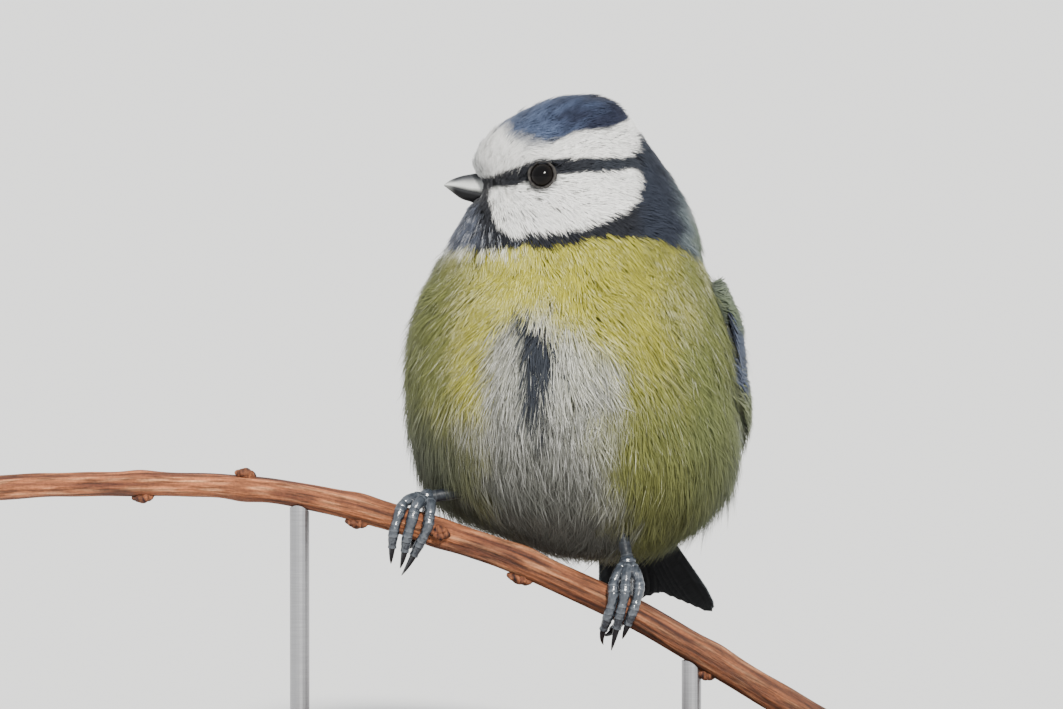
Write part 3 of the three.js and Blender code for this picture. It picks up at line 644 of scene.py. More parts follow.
def body_markings(p):
    """Colour of neck, breast, belly, flanks and back, with painted shade towards the underside."""
    z = p[..., 2]
    forward, left = p @ FORWARD, p @ LEFT
    wander = mottle(p, 9, 3)
    base = mix(flat(YELLOW, p.shape), LEMON, fade(9, 18, z) * fade(14, 4, np.abs(left)) * 0.8)
    base = mix(base, OLIVE, fade(11, 22, np.abs(left - 2) + 2 * wander) * 0.9)
    # Lower flanks greyer, and more on the left side, away from the light: grey feathers low down, with
    # painted shade on the left
    base = mix(base, FLANK_GREY_SHADED, fade(3, -9, z) * (0.35 + 0.5 * fade(0, -14, left)))
    base = mix(base, OLIVE, fade(13, -2, z) * fade(3, 12, left) * 0.65)
    base = mix(base, MANTLE, fade(2, -9, forward + 2 * wander))
    base = belly_markings(p, base, wander)
    fringe = fade(21.6, 23, z) * fade(-7, -12, p[..., 0]) * fade(-4, 6, forward)
    base = mix(base, WHITE, fringe * (0.3 + 0.3 * mottle(p, 1.5, 14)))
    streaks = mottle(p * STREAK_SHAPE, 1.9, 6) * lerp(0.08, 0.23, fade(12, 2, z))
    # Painted shade: darker towards the underside
    shade = 1 - UNDERSIDE_SHADE * fade(1, -18, z)
    return np.clip(base * (shade * (1 + streaks))[..., None], 0, 1)


def nape_markings(p, seen, wander):
    """Colour of nape, collar and bib."""
    x = p[..., 0]
    rear = x + 0.3 * (p[..., 1] - HEAD_Y) + 0.7 * wander
    nape = flat(NAPE, p.shape)
    nape = mix(nape, NAPE_EDGE, fade(12.5, 17, rear) * fade(39, 30, seen) * 0.85)
    nape = mix(nape, MANTLE, fade(15.5, 19, rear) * fade(31, 25, seen) * 0.8)
    nape = mix(nape, INK, fade(11, 8, x) * fade(39, 36, seen))
    bib = fade(-14.4, -16.4, x + 0.5 * wander) * fade(31, 28.5, seen)
    nape = mix(nape, BIB_EDGE, bib * (0.75 + 0.25 * mottle(p, 1.6, 12)))
    beads = fade(0.5, 0.95, mottle(p, 1.0, 15)) * fade(-6, -10, x) * fade(29.5, 27, seen)
    return mix(nape, BEAD_GREY, beads * 0.4)


def markings(p):
    """Colour of the plumage of head and body, at points about the body's centre."""
    x, y, z = np.moveaxis(p, -1, 0)
    seen = z + VIEW_RISE * (HEAD_Y - np.abs(y - HEAD_Y))
    wander = mottle(p, 3, 9)

    def over(height, soft=EDGE_SOFTNESS):
        """Share of a point that lies over a height given by x."""
        return fade(-soft, soft, seen - height)

    def before(edge):
        return fade(EDGE_SOFTNESS, -EDGE_SOFTNESS, x - edge)

    head = over(np.interp(x, *COLLAR_LOW) - 0.25 * wander)
    base = lerp(body_markings(p), nape_markings(p, seen, wander), head[..., None])
    cheek = within(x, seen, CHEEK) + 0.15 * wander
    base = mix(base, WHITE, fade(-EDGE_SOFTNESS, EDGE_SOFTNESS, cheek))
    brow = over(np.interp(x, *STRIPE_TOP)) * before(BROW_END - 0.05 * (seen - 39.5) ** 2)
    base = mix(base, WHITE, brow * fade(32.5, 34, seen))
    crown = over(np.interp(x, *CROWN_EDGE) - 0.4 * wander, 0.45 + 1.3 * fade(-2, -9, x))
    blue = mix(flat(CROWN_BLUE, p.shape), CROWN_DARK, fade(-8, 5, x + 3 * wander))
    base = lerp(base, blue, crown[..., None])
    back = fade(-0.4, 0.4, x - BROW_END) * fade(36, 38, seen) * (1 - crown)
    base = mix(base, NAPE, back)
    line = over(np.interp(x, *STRIPE_LOW)) * (1 - over(np.interp(x, *STRIPE_TOP))) * (x > -13.6)
    dark = mix(flat(INK, p.shape), SLATE, fade(-1, 5, x) * 0.8)
    base = lerp(base, dark, (line * head * fade(12, 8.5, x))[..., None])
    around_eye = np.hypot(x - EYE_XZ[0], z - EYE_XZ[1])
    return mix(base, INK, fade(2.8, 2.35, around_eye + 0.1 * wander) * 0.85)


def rump_markings(p):
    """Green above and pale below, towards the tail."""
    above = fade(-2, 3, (p - TAIL_ROOT) @ TAIL_UP)
    base = mix(flat(COVERT_GREY, p.shape), VENT, mottle(p, 5, 21) * 0.3 + 0.3)
    return mix(base, RUMP_GREEN, above)


# Lie of the feathers

def lie(p, normal):
    """Direction along the coat in which feathers lie, at points with their normals."""
    left = p @ LEFT
    z = p[..., 2]
    body = -UP + 0.45 * -FORWARD * fade(30, -20, z)[..., None]
    spread = fade(0, 10, z) * 0.45 - fade(0, -14, z) * 0.3
    body = body + LEFT * (spread * np.tanh(left / 6))[..., None]
    amount = fade(19, 29, z)[..., None]
    d = unit(body) * (1 - amount) + unit(p - BILL_BASE) * amount
    d = d + 0.16 * np.stack([mottle(p, 8, k) for k in (31, 32, 33)], axis=-1)
    return unit(d - normal * np.sum(d * normal, axis=-1, keepdims=True))


# Barbs

# Corners of a barb are its root, its two sides, its ridge and its tip
BARB_FACES = np.array([[0, 2, 1], [0, 3, 2], [0, 1, 3], [1, 2, 4], [2, 3, 4], [3, 1, 4]])
BARB_UV = np.array([[0, -0.0015], [-0.0012, 0], [0.0012, 0], [0, 0], [0, 0.0015]])


def barb_forms(middle, side, normal, width, tint, shade, uv=None, roundness=0.4):
    """Closed thin barbs through three points each, wide and ridged at the middle one."""
    corners = len(BARB_UV)
    n = len(width)
    points = np.empty((n, corners, 3))
    normals = np.repeat(normal[:, None], corners, axis=1)
    points[:, 0], points[:, -1] = middle[0], middle[2]
    for k, across, above in ((1, -1, 0), (2, 1, 0), (3, 0, 0.5)):
        points[:, k] = middle[1] + (side * across + normal * above) * width[:, None]
        normals[:, k] += side * across * roundness
    faces = (BARB_FACES[None] + corners * np.arange(n)[:, None, None]).reshape(-1, 3)
    shades = np.repeat(np.atleast_2d(shade), [1, 3, 1], axis=1)
    color = np.clip(tint[:, None, :] * shades[..., None], 0, 1).reshape(-1, 3)
    layers = {"color": color, "normals": unit(normals).reshape(-1, 3)}
    if uv is not None:
        layers["uv"] = (uv[:, None] + BARB_UV[None]).reshape(-1, 2)
    return points.reshape(-1, 3), faces, layers


def scatter(surface, density, rows=420, columns=480):
    """Random places over a form closed round its angle, more where density (per mm2) is higher."""
    t = (np.arange(rows) + 0.5) / rows
    a = (np.arange(columns) + 0.5) / columns * TAU
    t, a = np.meshgrid(t, a, indexing="ij")
    step_t, step_a = 1 / rows, TAU / columns
    p, n = surface(t, a)
    up = surface(np.clip(t + step_t / 2, 0, 1), a)[0] - surface(np.clip(t - step_t / 2, 0, 1), a)[0]
    across = surface(t, a + step_a / 2)[0] - surface(t, a - step_a / 2)[0]
    wanted = (np.linalg.norm(np.cross(up, across), axis=-1) * density(p, n)).ravel()
    count = int(wanted.sum())
    pick = rng.choice(wanted.size, size=count, p=wanted / wanted.sum())
    t = t.ravel()[pick] + (rng.random(count) - 0.5) * step_t
    a = a.ravel()[pick] + (rng.random(count) - 0.5) * step_a
    return np.clip(t, 0.001, 0.999), a % TAU


def barb_line(root, direction, normal, bend, length, lift):
    """Root, middle and tip of barbs that rise from the skin and then lie back along the coat."""
    return [
        root + direction * (length * q)[:, None] + normal * (lift * (1 - (1 - q) ** BARB_ARCH))[:, None]
        + bend * (length * q * q)[:, None]
        for q in (0.0, 0.5, 1.0)
    ]


def tuft_barbs(centre, normal, flow, uv, length, depth, width, tint_at, keep, contrast, stray):
    """Barbs of tufts centred on the coat. Sizes are one for each tuft, or one for all."""
    m, n = BARBS_IN_TUFT, len(centre)
    length, depth, width, contrast, stray = (
        np.broadcast_to(v, n) for v in (length, depth, width, contrast, stray)
    )
    flow = rotate(flow, normal, rng.normal(0, 1, n) * (0.12 + 0.08 * np.minimum(stray, 1)))
    tuft_rise = rng.normal(1.0, 0.08, n) + 0.3 * (rng.random(n) < 0.03)
    tuft_tint = rng.normal(1, 0.35, n) * contrast
    shift = rng.normal(0, 1, (n, 3)) * stray[:, None]
    centre, normal, flow, uv, length, depth, width, tuft_rise, tuft_tint, contrast, shift = (
        np.repeat(v, m, axis=0)
        for v in (centre, normal, flow, uv, length, depth, width, tuft_rise, tuft_tint, contrast, shift)
    )
    fan = np.tile(np.linspace(-1, 1, m), n) + rng.normal(0, 0.25, n * m)
    side = unit(np.cross(normal, flow))
    spread = (0.06 * length + 0.12)[:, None]
    root = centre - normal * depth[:, None] + side * fan[:, None] * spread
    root = root + flow * rng.normal(0, 0.35, n * m)[:, None] * spread
    direction = rotate(flow, normal, fan * 0.15 + rng.normal(0, 0.05, n * m))
    length = length * (1.05 - 0.22 * fan ** 2) * rng.normal(1, 0.08, n * m)
    lift = depth * tuft_rise * rng.normal(0.97, 0.05, n * m)
    width = width * rng.normal(1, 0.15, n * m)
    bend = side * rng.normal(0, 0.05, n * m)[:, None] - normal * 0.05
    middle = barb_line(root, direction, normal, bend, length, lift)
    tint = tint_at(lerp(middle[1], middle[2], 0.46) + shift * rng.uniform(0.4, 1.3, n * m)[:, None])
    tint = tint * (1 + tuft_tint - contrast + contrast * rng.normal(0, 1, n * m))[:, None].clip(0.3, 1.6)
    # Painted shade: each barb is darker at its root, deep among the others, partly also the darker down of
    # a real feather, and a little paler at its tip
    shade = np.stack([1 - 2.6 * contrast, 1 - 0.6 * contrast, 1 + 0.6 * contrast], axis=1)
    chosen = keep(middle[0], middle[2]) & (width > 0.02)
    parts = [*middle, side, normal, width, tint, shade, uv + rng.normal(0, 0.0004, uv.shape)]
    return [v[chosen] for v in parts]


# Eyes

def eye_axis(side):
    """Middle of an eyeball, on side -1 (towards the front) or 1, and the way that it looks."""
    row = np.argmin(np.abs(LEVELS[:, 0] - EYE_XZ[1]))
    _, left, right = LEVELS[row, :3]
    angle = side * math.acos((EYE_XZ[0] - (left + right) / 2) / ((right - left) / 2))
    point, normal = coat_point(row / (len(LEVELS) - 1), angle)
    middle = point - normal * EYE_DEPTH
    return middle, unit(middle - [EYE_XZ[0] * 0.5, HEAD_Y, EYE_XZ[1] - 3])


EYES = {"l": eye_axis(-1), "r": eye_axis(1)}


def bare(p):
    """True over the eyes and the bill, where no feather grows."""
    hidden = np.zeros(p.shape[:-1], bool)
    for middle, outward in EYES.values():
        d = p - middle
        out = d @ outward
        aside = np.linalg.norm(d - out[..., None] * outward, axis=-1)
        hidden |= (aside < EYE_OPENING + 0.8 * EYE_RING) & (out > 0)
    x, y, z = np.moveaxis(p, -1, 0)
    bill_x = BILL_LEVELS[::-1, 0]
    culmen, _, chin, half = (np.interp(x, bill_x, BILL_LEVELS[::-1, k]) for k in (1, 2, 3, 4))
    high = (culmen - chin) / 2
    inside = np.hypot((y - HEAD_Y) / half, (z - (culmen + chin) / 2) / high) < BILL_CLEARANCE
    return hidden | (inside & (x < BILL_SHOWS))


# Coat

def everywhere(root, tip):
    return np.ones(len(root), bool)


def clear_of_face(root, tip):
    return ~(bare(root) | bare(tip))


def under_wing(p):
    """True well inside the wings, where no body feather shows."""
    forward, left, z = p @ FORWARD, np.abs(p @ LEFT), p[..., 2]
    low = np.interp(-forward, -WING_LOWER[:, 0], WING_LOWER[:, 2])
    high = np.interp(-forward, -WING_UPPER[:, 0], WING_UPPER[:, 2])
    return (forward < -4) & (left > 9) & (z > low + 4) & (z < high - 4)


def body_density(p, n):
    face = np.clip(1 - np.linalg.norm(p - FACE, axis=-1) / 9, 0, 1)
    amount = np.interp(p[..., 2], *BARB_DENSITY) / BARBS_IN_TUFT * (1 + 1.2 * face)
    return amount * np.where(under_wing(p), 0.2, 1)


def body_contrast(p):
    """How much barbs differ in tone, and how much painted shade darkens their roots: little on the face,
    most on the belly.
    """
    belly = fade(12, 2, p[..., 2]) * fade(14, 6, np.abs(p @ LEFT)) * (p @ FORWARD > 0)
    head = fade(23, 26, p[..., 2])
    return lerp(lerp(0.12, 0.19, belly), 0.05, head)


def body_barbs():
    """Small feathers of head and body, some of them longer strands."""
    t, a = scatter(coat_point, body_density)
    centre, normal = coat_point(t, a)
    z = centre[:, 2]
    small = coat_depth(centre) / np.interp(z, *COAT_DEPTH)
    strand = 1 + STRAND_EXTRA * (rng.random(len(z)) < STRAND_SHARE) * (z < 18)
    uv = np.stack([a / TAU * 0.78 + 0.01, t * 0.98 + 0.01], axis=-1)
    return tuft_barbs(
        centre, normal, lie(centre, normal), uv,
        length=np.interp(z, *BARB_LENGTH) * small * strand,
        depth=coat_depth(centre) * (1 + 0.1 * (strand - 1)),
        width=np.interp(z, *BARB_WIDTH) * (0.65 + 0.35 * small),
        tint_at=markings, keep=clear_of_face,
        contrast=body_contrast(centre), stray=np.interp(z, *BARB_STRAY),
    )


def rump_barbs():
    """Coverts that run out over the root of the tail."""
    t, a = scatter(rump_point, lambda p, n: np.where(coat_share(p) > 0.86, 1.5, 0), 120, 160)
    centre, normal = rump_point(t, a)
    flow = unit(TAIL_ALONG - normal * (normal @ TAIL_ALONG)[:, None])
    uv = np.stack([a / TAU * 0.17 + 0.82, t * 0.4 + 0.01], axis=-1)
    length = 7.5 + 1.5 * fade(0.2, -0.6, normal @ TAIL_UP)
    return tuft_barbs(
        centre, normal, flow, uv, length, depth=1.6, width=0.11,
        tint_at=rump_markings, keep=everywhere, contrast=0.11, stray=0.7,
    )


def shoulder_tint(p):
    tint = mix(flat(WING_BLUE, p.shape), MANTLE, fade(9, 14, p[..., 2]))
    return mix(tint, OLIVE, fade(2, -3, p[..., 2]))


def scapular_tint(p):
    return mix(flat(MANTLE, p.shape), WING_SLATE, 0.15 + 0.15 * mottle(p, 6, 41))


def flank_tint(p):
    return mix(body_markings(p), OLIVE, 0.5)


# Soft feathers over a wing: tint, s and t limits, length, lie up the wing, count of tufts, place in UV
WING_SOFT = [
    (shoulder_tint, (0.0, 0.13), (0.05, 0.98), 4.2, 0.0, 420, 0.45),
    (scapular_tint, (0.0, 0.5), (0.8, 1.1), 6.5, -0.16, 560, 0.6),
    (flank_tint, (0.0, 0.62), (-0.12, 0.1), 6.5, 0.24, 520, 0.75),
]


def wing_soft_barbs(sheet, tint_at, s_limits, t_limits, length, climb, count, place):
    s = rng.uniform(*s_limits, count)
    t = rng.uniform(*t_limits, count)
    centre = sheet.point(s, t, 1.5)
    normal = sheet.at(sheet.normals, s, t)
    flow = unit(sheet.at(sheet.points, s + 0.04, t) - sheet.at(sheet.points, s - 0.04, t))
    flow = unit(flow + sheet.at(sheet.across, s, t) * climb)
    place = place + (0.08 if sheet.side > 0 else 0)
    across = 0.82 + 0.17 * (s - s_limits[0]) / (s_limits[1] - s_limits[0])
    uv = np.stack([across, place + 0.06 * t], axis=-1)
    return tuft_barbs(
        centre, normal, flow, uv, length, depth=1.7, width=0.1,
        tint_at=tint_at, keep=everywhere, contrast=0.1, stray=0.7,
    )


# Places of the root and the tint in what tuft_barbs returns
ROOT, TINT = 0, 6


def coat(pale_material, dark_material, sheets):
    """All the small feathers, in pieces of a limited size. Light passes through the pale ones."""
    fields = [body_barbs(), rump_barbs()]
    fields += [wing_soft_barbs(sheet, *row) for sheet in sheets for row in WING_SOFT]
    parts = [np.concatenate(column) for column in zip(*fields)]
    order = np.argsort(parts[ROOT][:, 2])
    dark = parts[TINT][order].mean(axis=1) < DARK_TINT
    groups = [("coat_pale", order[~dark], pale_material), ("coat_dark", order[dark], dark_material)]
    for name, group, material in groups:
        pieces = np.array_split(group, math.ceil(len(group) * len(BARB_FACES) / PIECE_TRIANGLES))
        for k, chosen in enumerate(pieces):
            *middle, side, normal, width, tint, shade, uv = (v[chosen] for v in parts)
            heap = Heap()
            points, faces, layers = barb_forms(middle, side, normal, width, tint, shade, uv)
            heap.add(points, faces, **layers)
            heap.piece(f"{name}_{k + 1}", material)


SKIN_VOXEL = 0.0008
# Skin is coloured as the feathers over it and darkened: painted shade between the barbs
SKIN_SHADE = 0.8
RUMP_INSET = 1.5


def remeshed(rough):
    """Points and triangles of a piece that is remade as one even mesh and taken away."""
    remesh = rough.modifiers.new("remesh", "REMESH")
    remesh.mode = "VOXEL"
    remesh.voxel_size = SKIN_VOXEL
    made = rough.evaluated_get(bpy.context.evaluated_depsgraph_get()).to_mesh()
    points = np.empty(len(made.vertices) * 3)
    made.vertices.foreach_get("co", points)
    made.calc_loop_triangles()
    faces = np.empty(len(made.loop_triangles) * 3, np.int32)
    made.loop_triangles.foreach_get("vertices", faces)
    bpy.data.objects.remove(rough)
    return points.reshape(-1, 3) / MM - CENTRE, faces.reshape(-1, 3)


def skin(material):
    """One skin under the feathers of head, neck, body and rump, in their colours darkened with painted
    shade.
    """
    p, n = coat_point(*loft_grid("skin"))
    heap = Heap()
    heap.add(*lofted(p - n * coat_depth(p)[..., None]))
    p, n = rump_point(*loft_grid("rump"))
    heap.add(*lofted(p - n * RUMP_INSET))
    points, faces = remeshed(heap.piece("rough_skin", material))
    behind = fade(1.0, 1.12, coat_share(points))
    colors = lerp(markings(points), rump_markings(points), behind[:, None]) * SKIN_SHADE
    piece = mesh_object("skin", points + CENTRE, faces, material, color=colors)
    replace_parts(piece, "head", "neck", "torso", "rump")


# Vanes of wings and tail

# Half width along a vane, the web's half thickness, the step between barbs and how far they reach on
VANE_HALF = ([0, 0.1, 0.35, 0.75, 0.9, 0.97, 1.0], [0.45, 0.75, 0.95, 1.0, 0.82, 0.55, 0.2])
MEMBRANE = 0.05
BARB_PITCH = 0.36
BARB_REACH = 2.3
SHAFT_RADIUS = 0.13


def vane_web(webs, place, shaft_u, tint_at):
    """The thin web of a flight feather, with its shaft."""
    rows, columns = GRID["web"]
    q, u = np.meshgrid(np.linspace(0, 1, rows), np.linspace(-1, 1, columns), indexing="ij")
    wide = np.interp(q, *VANE_HALF) * 0.96
    colors = [tint_at(q, u, face).reshape(-1, 3) * 0.7 for face in (1, -1)]
    plate = (place(q, u * wide, height) for height in (MEMBRANE, -MEMBRANE))
    webs.add(*flat_plate(*plate), color=np.concatenate(colors))
    rows, sides = GRID["shaft"]
    q = np.linspace(0, 0.97, rows)
    points, faces = lofted(tube_rings(place(q, shaft_u, 0.02), SHAFT_RADIUS * (1.15 - q), sides))
    webs.add(points, faces, color=np.broadcast_to(tint_at(q * 0, q * 0, 1)[:1] * 0.45, (len(points), 3)))


def vane_barbs(barbs, place, length, shaft_u, tint_at, face, web):
    """A row of barbs on one face, from the shaft to the edge of one web."""
    count = int(length / BARB_PITCH)
    start = np.linspace(0.02, 0.985, count) + rng.normal(0, 0.002, count)
    split = np.cumsum(rng.random(count) < 0.05) % 3 * 0.012
    ends = np.minimum(start + BARB_REACH / length + split + rng.normal(0, 0.003, count), 1)
    wide = np.interp(ends, *VANE_HALF)
    middle = []
    for g in (0.0, 0.35, 1.0):
        across = lerp(shaft_u, web * wide, g) + rng.normal(0, 0.02, count) * g
        height = face * (MEMBRANE + 0.03 + 0.06 * g * (1 - g))
        middle.append(place(lerp(start, ends, g), across, height))
    normal = unit(place(start, web * 0.5, 1) - place(start, web * 0.5, 0)) * face
    tint = tint_at(lerp(start, ends, 0.7), web * wide * 0.75, face) * rng.normal(1, 0.06, count)[:, None]
    side = unit(np.cross(normal, middle[2] - middle[0]))
    width = np.full(count, BARB_PITCH * 0.62)
    shade = np.array([0.88, 1.0, 1.06])
    points, faces, layers = barb_forms(middle, side, normal, width, tint, shade, roundness=0.55)
    barbs.add(points, faces, **layers)


def vane_forms(webs, barbs, place, length, shaft_u, tint_at, faces=(1,)):
    """One flight feather: its web, and rows of barbs on the faces that show."""
    vane_web(webs, place, shaft_u, tint_at)
    for face in faces:
        for web in (-1, 1):
            vane_barbs(barbs, place, length, shaft_u, tint_at, face, web)


def feather_tint(kind, k):
    """Colour over one wing feather, by place along and across it, u below 0 on its outer web."""
    def tint(q, u, face):
        q, u = np.broadcast_arrays(q, u)
        outer = fade(0.1, -0.3, u)
        rim = fade(-0.62, -0.92, u) + 0.5 * fade(0.7, 0.98, u)
        base = flat(WING_SLATE, (*q.shape, 3))
        if kind == "primary":
            base = mix(base, WING_BLUE, outer * fade(0.75, 0.3, q) * 0.8)
            base = mix(base, FEATHER_EDGE, rim * (0.35 + 0.4 * fade(0.4, 0.8, q)))
        elif kind == "secondary":
            base = mix(base, WING_BLUE, outer * 0.9)
            base = mix(base, FEATHER_EDGE, rim * 0.3 + fade(0.95, 1, q) * 0.6)
        elif kind == "tertial":
            base = mix(base, WING_BLUE, 0.45 + 0.3 * outer)
            base = mix(base, RUMP_GREEN, 0.2 * outer)
            base = mix(base, WHITE, fade(0.86, 0.97, q) * 0.8)
        else:
            base = mix(base, WING_BLUE, 0.55 + 0.35 * outer)
            base = mix(base, CROWN_DARK, fade(0.5, 0.1, q) * 0.3)
        if kind == "greater_covert":
            base = mix(base, WHITE, fade(0.74, 0.86, q + 0.05 * u))
        if kind == "median_covert":
            base = mix(base, FEATHER_EDGE, fade(0.9, 1, q) * 0.35)
        # Undersides take the dark grey with its painted shade
        if face < 0:
            base = mix(base, SHADED_UNDERSIDE, 0.6)
        return base * (1 + 0.05 * math.sin(k * 2.3))
    return tint


WING_BED = {"s": (0.02, 0.86), "heights": (-0.15, -1.9)}


def wing_bed(sheet):
    """Points and triangles of the plate under the vanes, rounded at its front."""
    rows, columns = GRID["wing_bed"]
    q, k = np.meshgrid(np.linspace(0, 1, rows), np.linspace(-0.5, 0.5, columns), indexing="ij")
    s = lerp(*WING_BED["s"], q)
    spread = np.sqrt(1 - np.maximum(0, 1 - q / 0.2) ** 2) * (1 - 0.55 * np.maximum(0, q - 0.3)) * 0.92
    return flat_plate(*(sheet.point(s, 0.5 + k * spread, h) for h in WING_BED["heights"]))


def wing(sheet, letter, material):
    """One folded wing: a thin bed, and its vanes tier over tier."""
    webs, barbs = Heap(), Heap()
    points, faces = wing_bed(sheet)
    webs.add(points, faces, color=flat(WING_SLATE, points.shape) * 0.6)
    for kind, count, root_low, root_high, tip_low, tip_high, half, lift in WING_TIERS:
        for k in range(count):
            f = k / (count - 1)
            root = lerp(np.array(root_low), np.array(root_high), f)
            tip = lerp(np.array(tip_low), np.array(tip_high), f)
            root[0] += WING_ROUNDING * (2 * f - 1) ** 2

            def place(q, u, h, root=root, tip=tip, half=half, lift=lift):
                s = lerp(root[0], tip[0], q)
                t = lerp(root[1], tip[1], np.clip(q, 0, 1) ** 1.2)
                rise = lift * (1 - 0.6 * q) - SHINGLE * u + h + 0.1
                aside = sheet.at(sheet.across, s, t) * np.asarray(half * u)[..., None]
                return sheet.point(s, t, rise) + aside

            ends = place(np.array([0.0, 1.0]), 0, 0)
            length = np.linalg.norm(ends[1] - ends[0])
            shaft = -0.3 if kind in ("primary", "secondary") else -0.05
            vane_forms(webs, barbs, place, length, shaft, feather_tint(kind, k))
    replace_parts(webs.piece(f"vane_webs_{letter}", material), f"wing_{letter}")
    barbs.piece(f"vane_barbs_{letter}", material)


def tail_tint(side, outermost):
    """Colour over one tail feather, whose outer web lies to the given side."""
    def tint(q, u, face):
        q, u = np.broadcast_arrays(q, u)
        outer = fade(0.2, 0.7, u * side)
        # The underside is dark grey with painted shade; the top is blue over it
        base = flat(SHADED_UNDERSIDE, (*q.shape, 3))
        if face > 0:
            base = mix(base, TAIL_BLUE, 0.55 + 0.35 * outer)
        rim = fade(0.72, 0.95, u * side)
        return mix(base, FEATHER_EDGE, rim * (0.75 if outermost else 0.18))
    return tint


def tail(material):
    """The folded tail, with the middle feathers on top."""
    webs, barbs = Heap(), Heap()
    count = RECTRICES["count"]
    middle = (count - 1) / 2
    for i in range(count):
        k = i - middle
        end = TAIL_LENGTH - TAIL_NOTCH * (1 - abs(k) / middle)
        stack = -RECTRICES["step"] * (abs(k) - (0.5 if k > 0 else 0))

        def place(q, u, h, k=k, end=end, stack=stack):
            half = lerp(RECTRICES["root"], RECTRICES["tip"], q)
            reach = lerp(*TAIL_HALVES, q) - half
            along = lerp(TAIL_START - 3, end, q)
            return tail_point(along, reach * k / middle + half * u, stack + h - 0.06 * u * np.sign(k))

        shaft = 0.35 * np.sign(k) if abs(k) > 1 else 0.0
        tint = tail_tint(np.sign(k), i in (0, count - 1))
        vane_forms(webs, barbs, place, TAIL_LENGTH - TAIL_START, shaft, tint, faces=(1, -1))
    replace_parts(webs.piece("tail_webs", material), "tail")
    barbs.piece("tail_barbs", material)


# Head

def eye_frame(letter):
    """Middle of an eyeball, the way that it looks, and the ways to its side and up."""
    middle, outward = EYES[letter]
    side = unit(np.cross(UP, outward))
    return middle, outward, side, np.cross(outward, side)


def eyeball(letter, material):
    """A dark eye with a black pupil."""
    middle, outward, side, up = eye_frame(letter)
    across, rise, out = globe("eyeball", 0.01)
    ball_points = side * across[..., None] + up * rise[..., None] - outward * out[..., None]
    points, faces = lofted(middle + ball_points * EYE_RADIUS)
    aside = np.linalg.norm(np.cross(points - middle, outward), axis=-1)
    iris = fade(*PUPIL_EDGE, aside) * (1 - fade(*IRIS_RIM, aside) * 0.7)
    heap = Heap()
    heap.add(points, faces, color=mix(flat(PUPIL, points.shape), IRIS, iris))
    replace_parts(heap.piece(f"eyeball_{letter}", material), f"eye_{letter}")


def eye_ring(letter, material):
    """The beaded ring of the lids."""
    middle, outward, side, up = eye_frame(letter)
    rows, sides = GRID["lids"]
    turn, tube = round_grid(circle(rows), sides)
    bead = 1 + 0.2 * np.abs(np.sin(turn * 17)) + 0.14 * np.sin(turn * 5)
    thick = EYE_RING * bead * (0.85 + 0.15 * np.cos(2 * turn))
    around = side * np.cos(turn)[..., None] + up * np.sin(turn)[..., None]
    height = math.sqrt(EYE_RADIUS ** 2 - EYE_OPENING ** 2) + 0.04
    reach = EYE_OPENING + EYE_RING * 0.75 + thick * np.cos(tube)
    rings = middle + around * reach[..., None] + outward * (height + thick * np.sin(tube))[..., None]
    faces = halves(grid_faces(rows + 1, sides) % (rows * sides))
    shade = np.clip(0.5 + 0.5 * np.cos(tube) + 0.25 * mottle(rings, 0.7, 51), 0, 1)
    colors = mix(flat(LID, rings.shape), LID_PALE, shade * 0.2).reshape(-1, 3)
    mesh_object(f"eye_ring_{letter}", rings.reshape(-1, 3) + CENTRE, faces, material, color=colors)


def mandible(name, way, node, material):
    """One half of the bill, way 1 above or -1 below, arched outwards from its cutting edge."""
    rows, sides = GRID["bill"]
    x, culmen, mouth, chin, half = np.moveaxis(along_rows(BILL_LEVELS, np.linspace(0, 1, rows)), -1, 0)
    high = np.abs((culmen if way > 0 else chin) - mouth)
    c, s = np.cos(circle(sides)), np.sin(circle(sides))
    y = half[:, None] * np.sign(c) * np.abs(c) ** 0.85 * (1.0 if way > 0 else 0.93)
    arch = np.where(s > 0, high[:, None] * np.maximum(s, 0) ** 0.95, s * 0.25 * half[:, None])
    z = mouth[:, None] + way * (arch + 0.03)
    rings = np.stack([np.broadcast_to(x[:, None], y.shape), HEAD_Y + y, z], axis=-1)
    points, faces = lofted(rings[:, ::-way])
    edge, reach = (np.interp(points[:, 0], x[::-1], v[::-1]) for v in (mouth, high + 0.05))
    up = np.abs(points[:, 2] - edge) / reach
    tip = fade(-18.6, -20.2, points[:, 0])
    if way > 0:
        colors = mix(flat(HORN, points.shape), HORN_PALE, fade(0.75, 0.35, up))
        colors = mix(colors, HORN_DARK, fade(0.65, 0.95, up) * 0.75)
        # Painted shadow along the mouth line
        colors = mix(colors, HORN_DARK, fade(0.1, 0.02, up) * 0.8)
        colors = mix(colors, HORN_PALE, tip * 0.5)
    else:
        colors = mix(flat(HORN_DARK, points.shape), HORN, fade(0.4, 0.1, up) * 0.35)
        colors = mix(colors, HORN_PALE, tip * 0.35)
    colors = colors * (1 + 0.12 * mottle(points * [0.35, 1, 1], 0.9, 61))[:, None]
    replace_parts(mesh_object(name, points + CENTRE, faces, material, color=colors), node)


# Legs

def foot_point(foot, point):
    right, up, front = point
    return np.array([foot["at"][0] + right, TWIG_Y - front, foot["at"][1] + up])


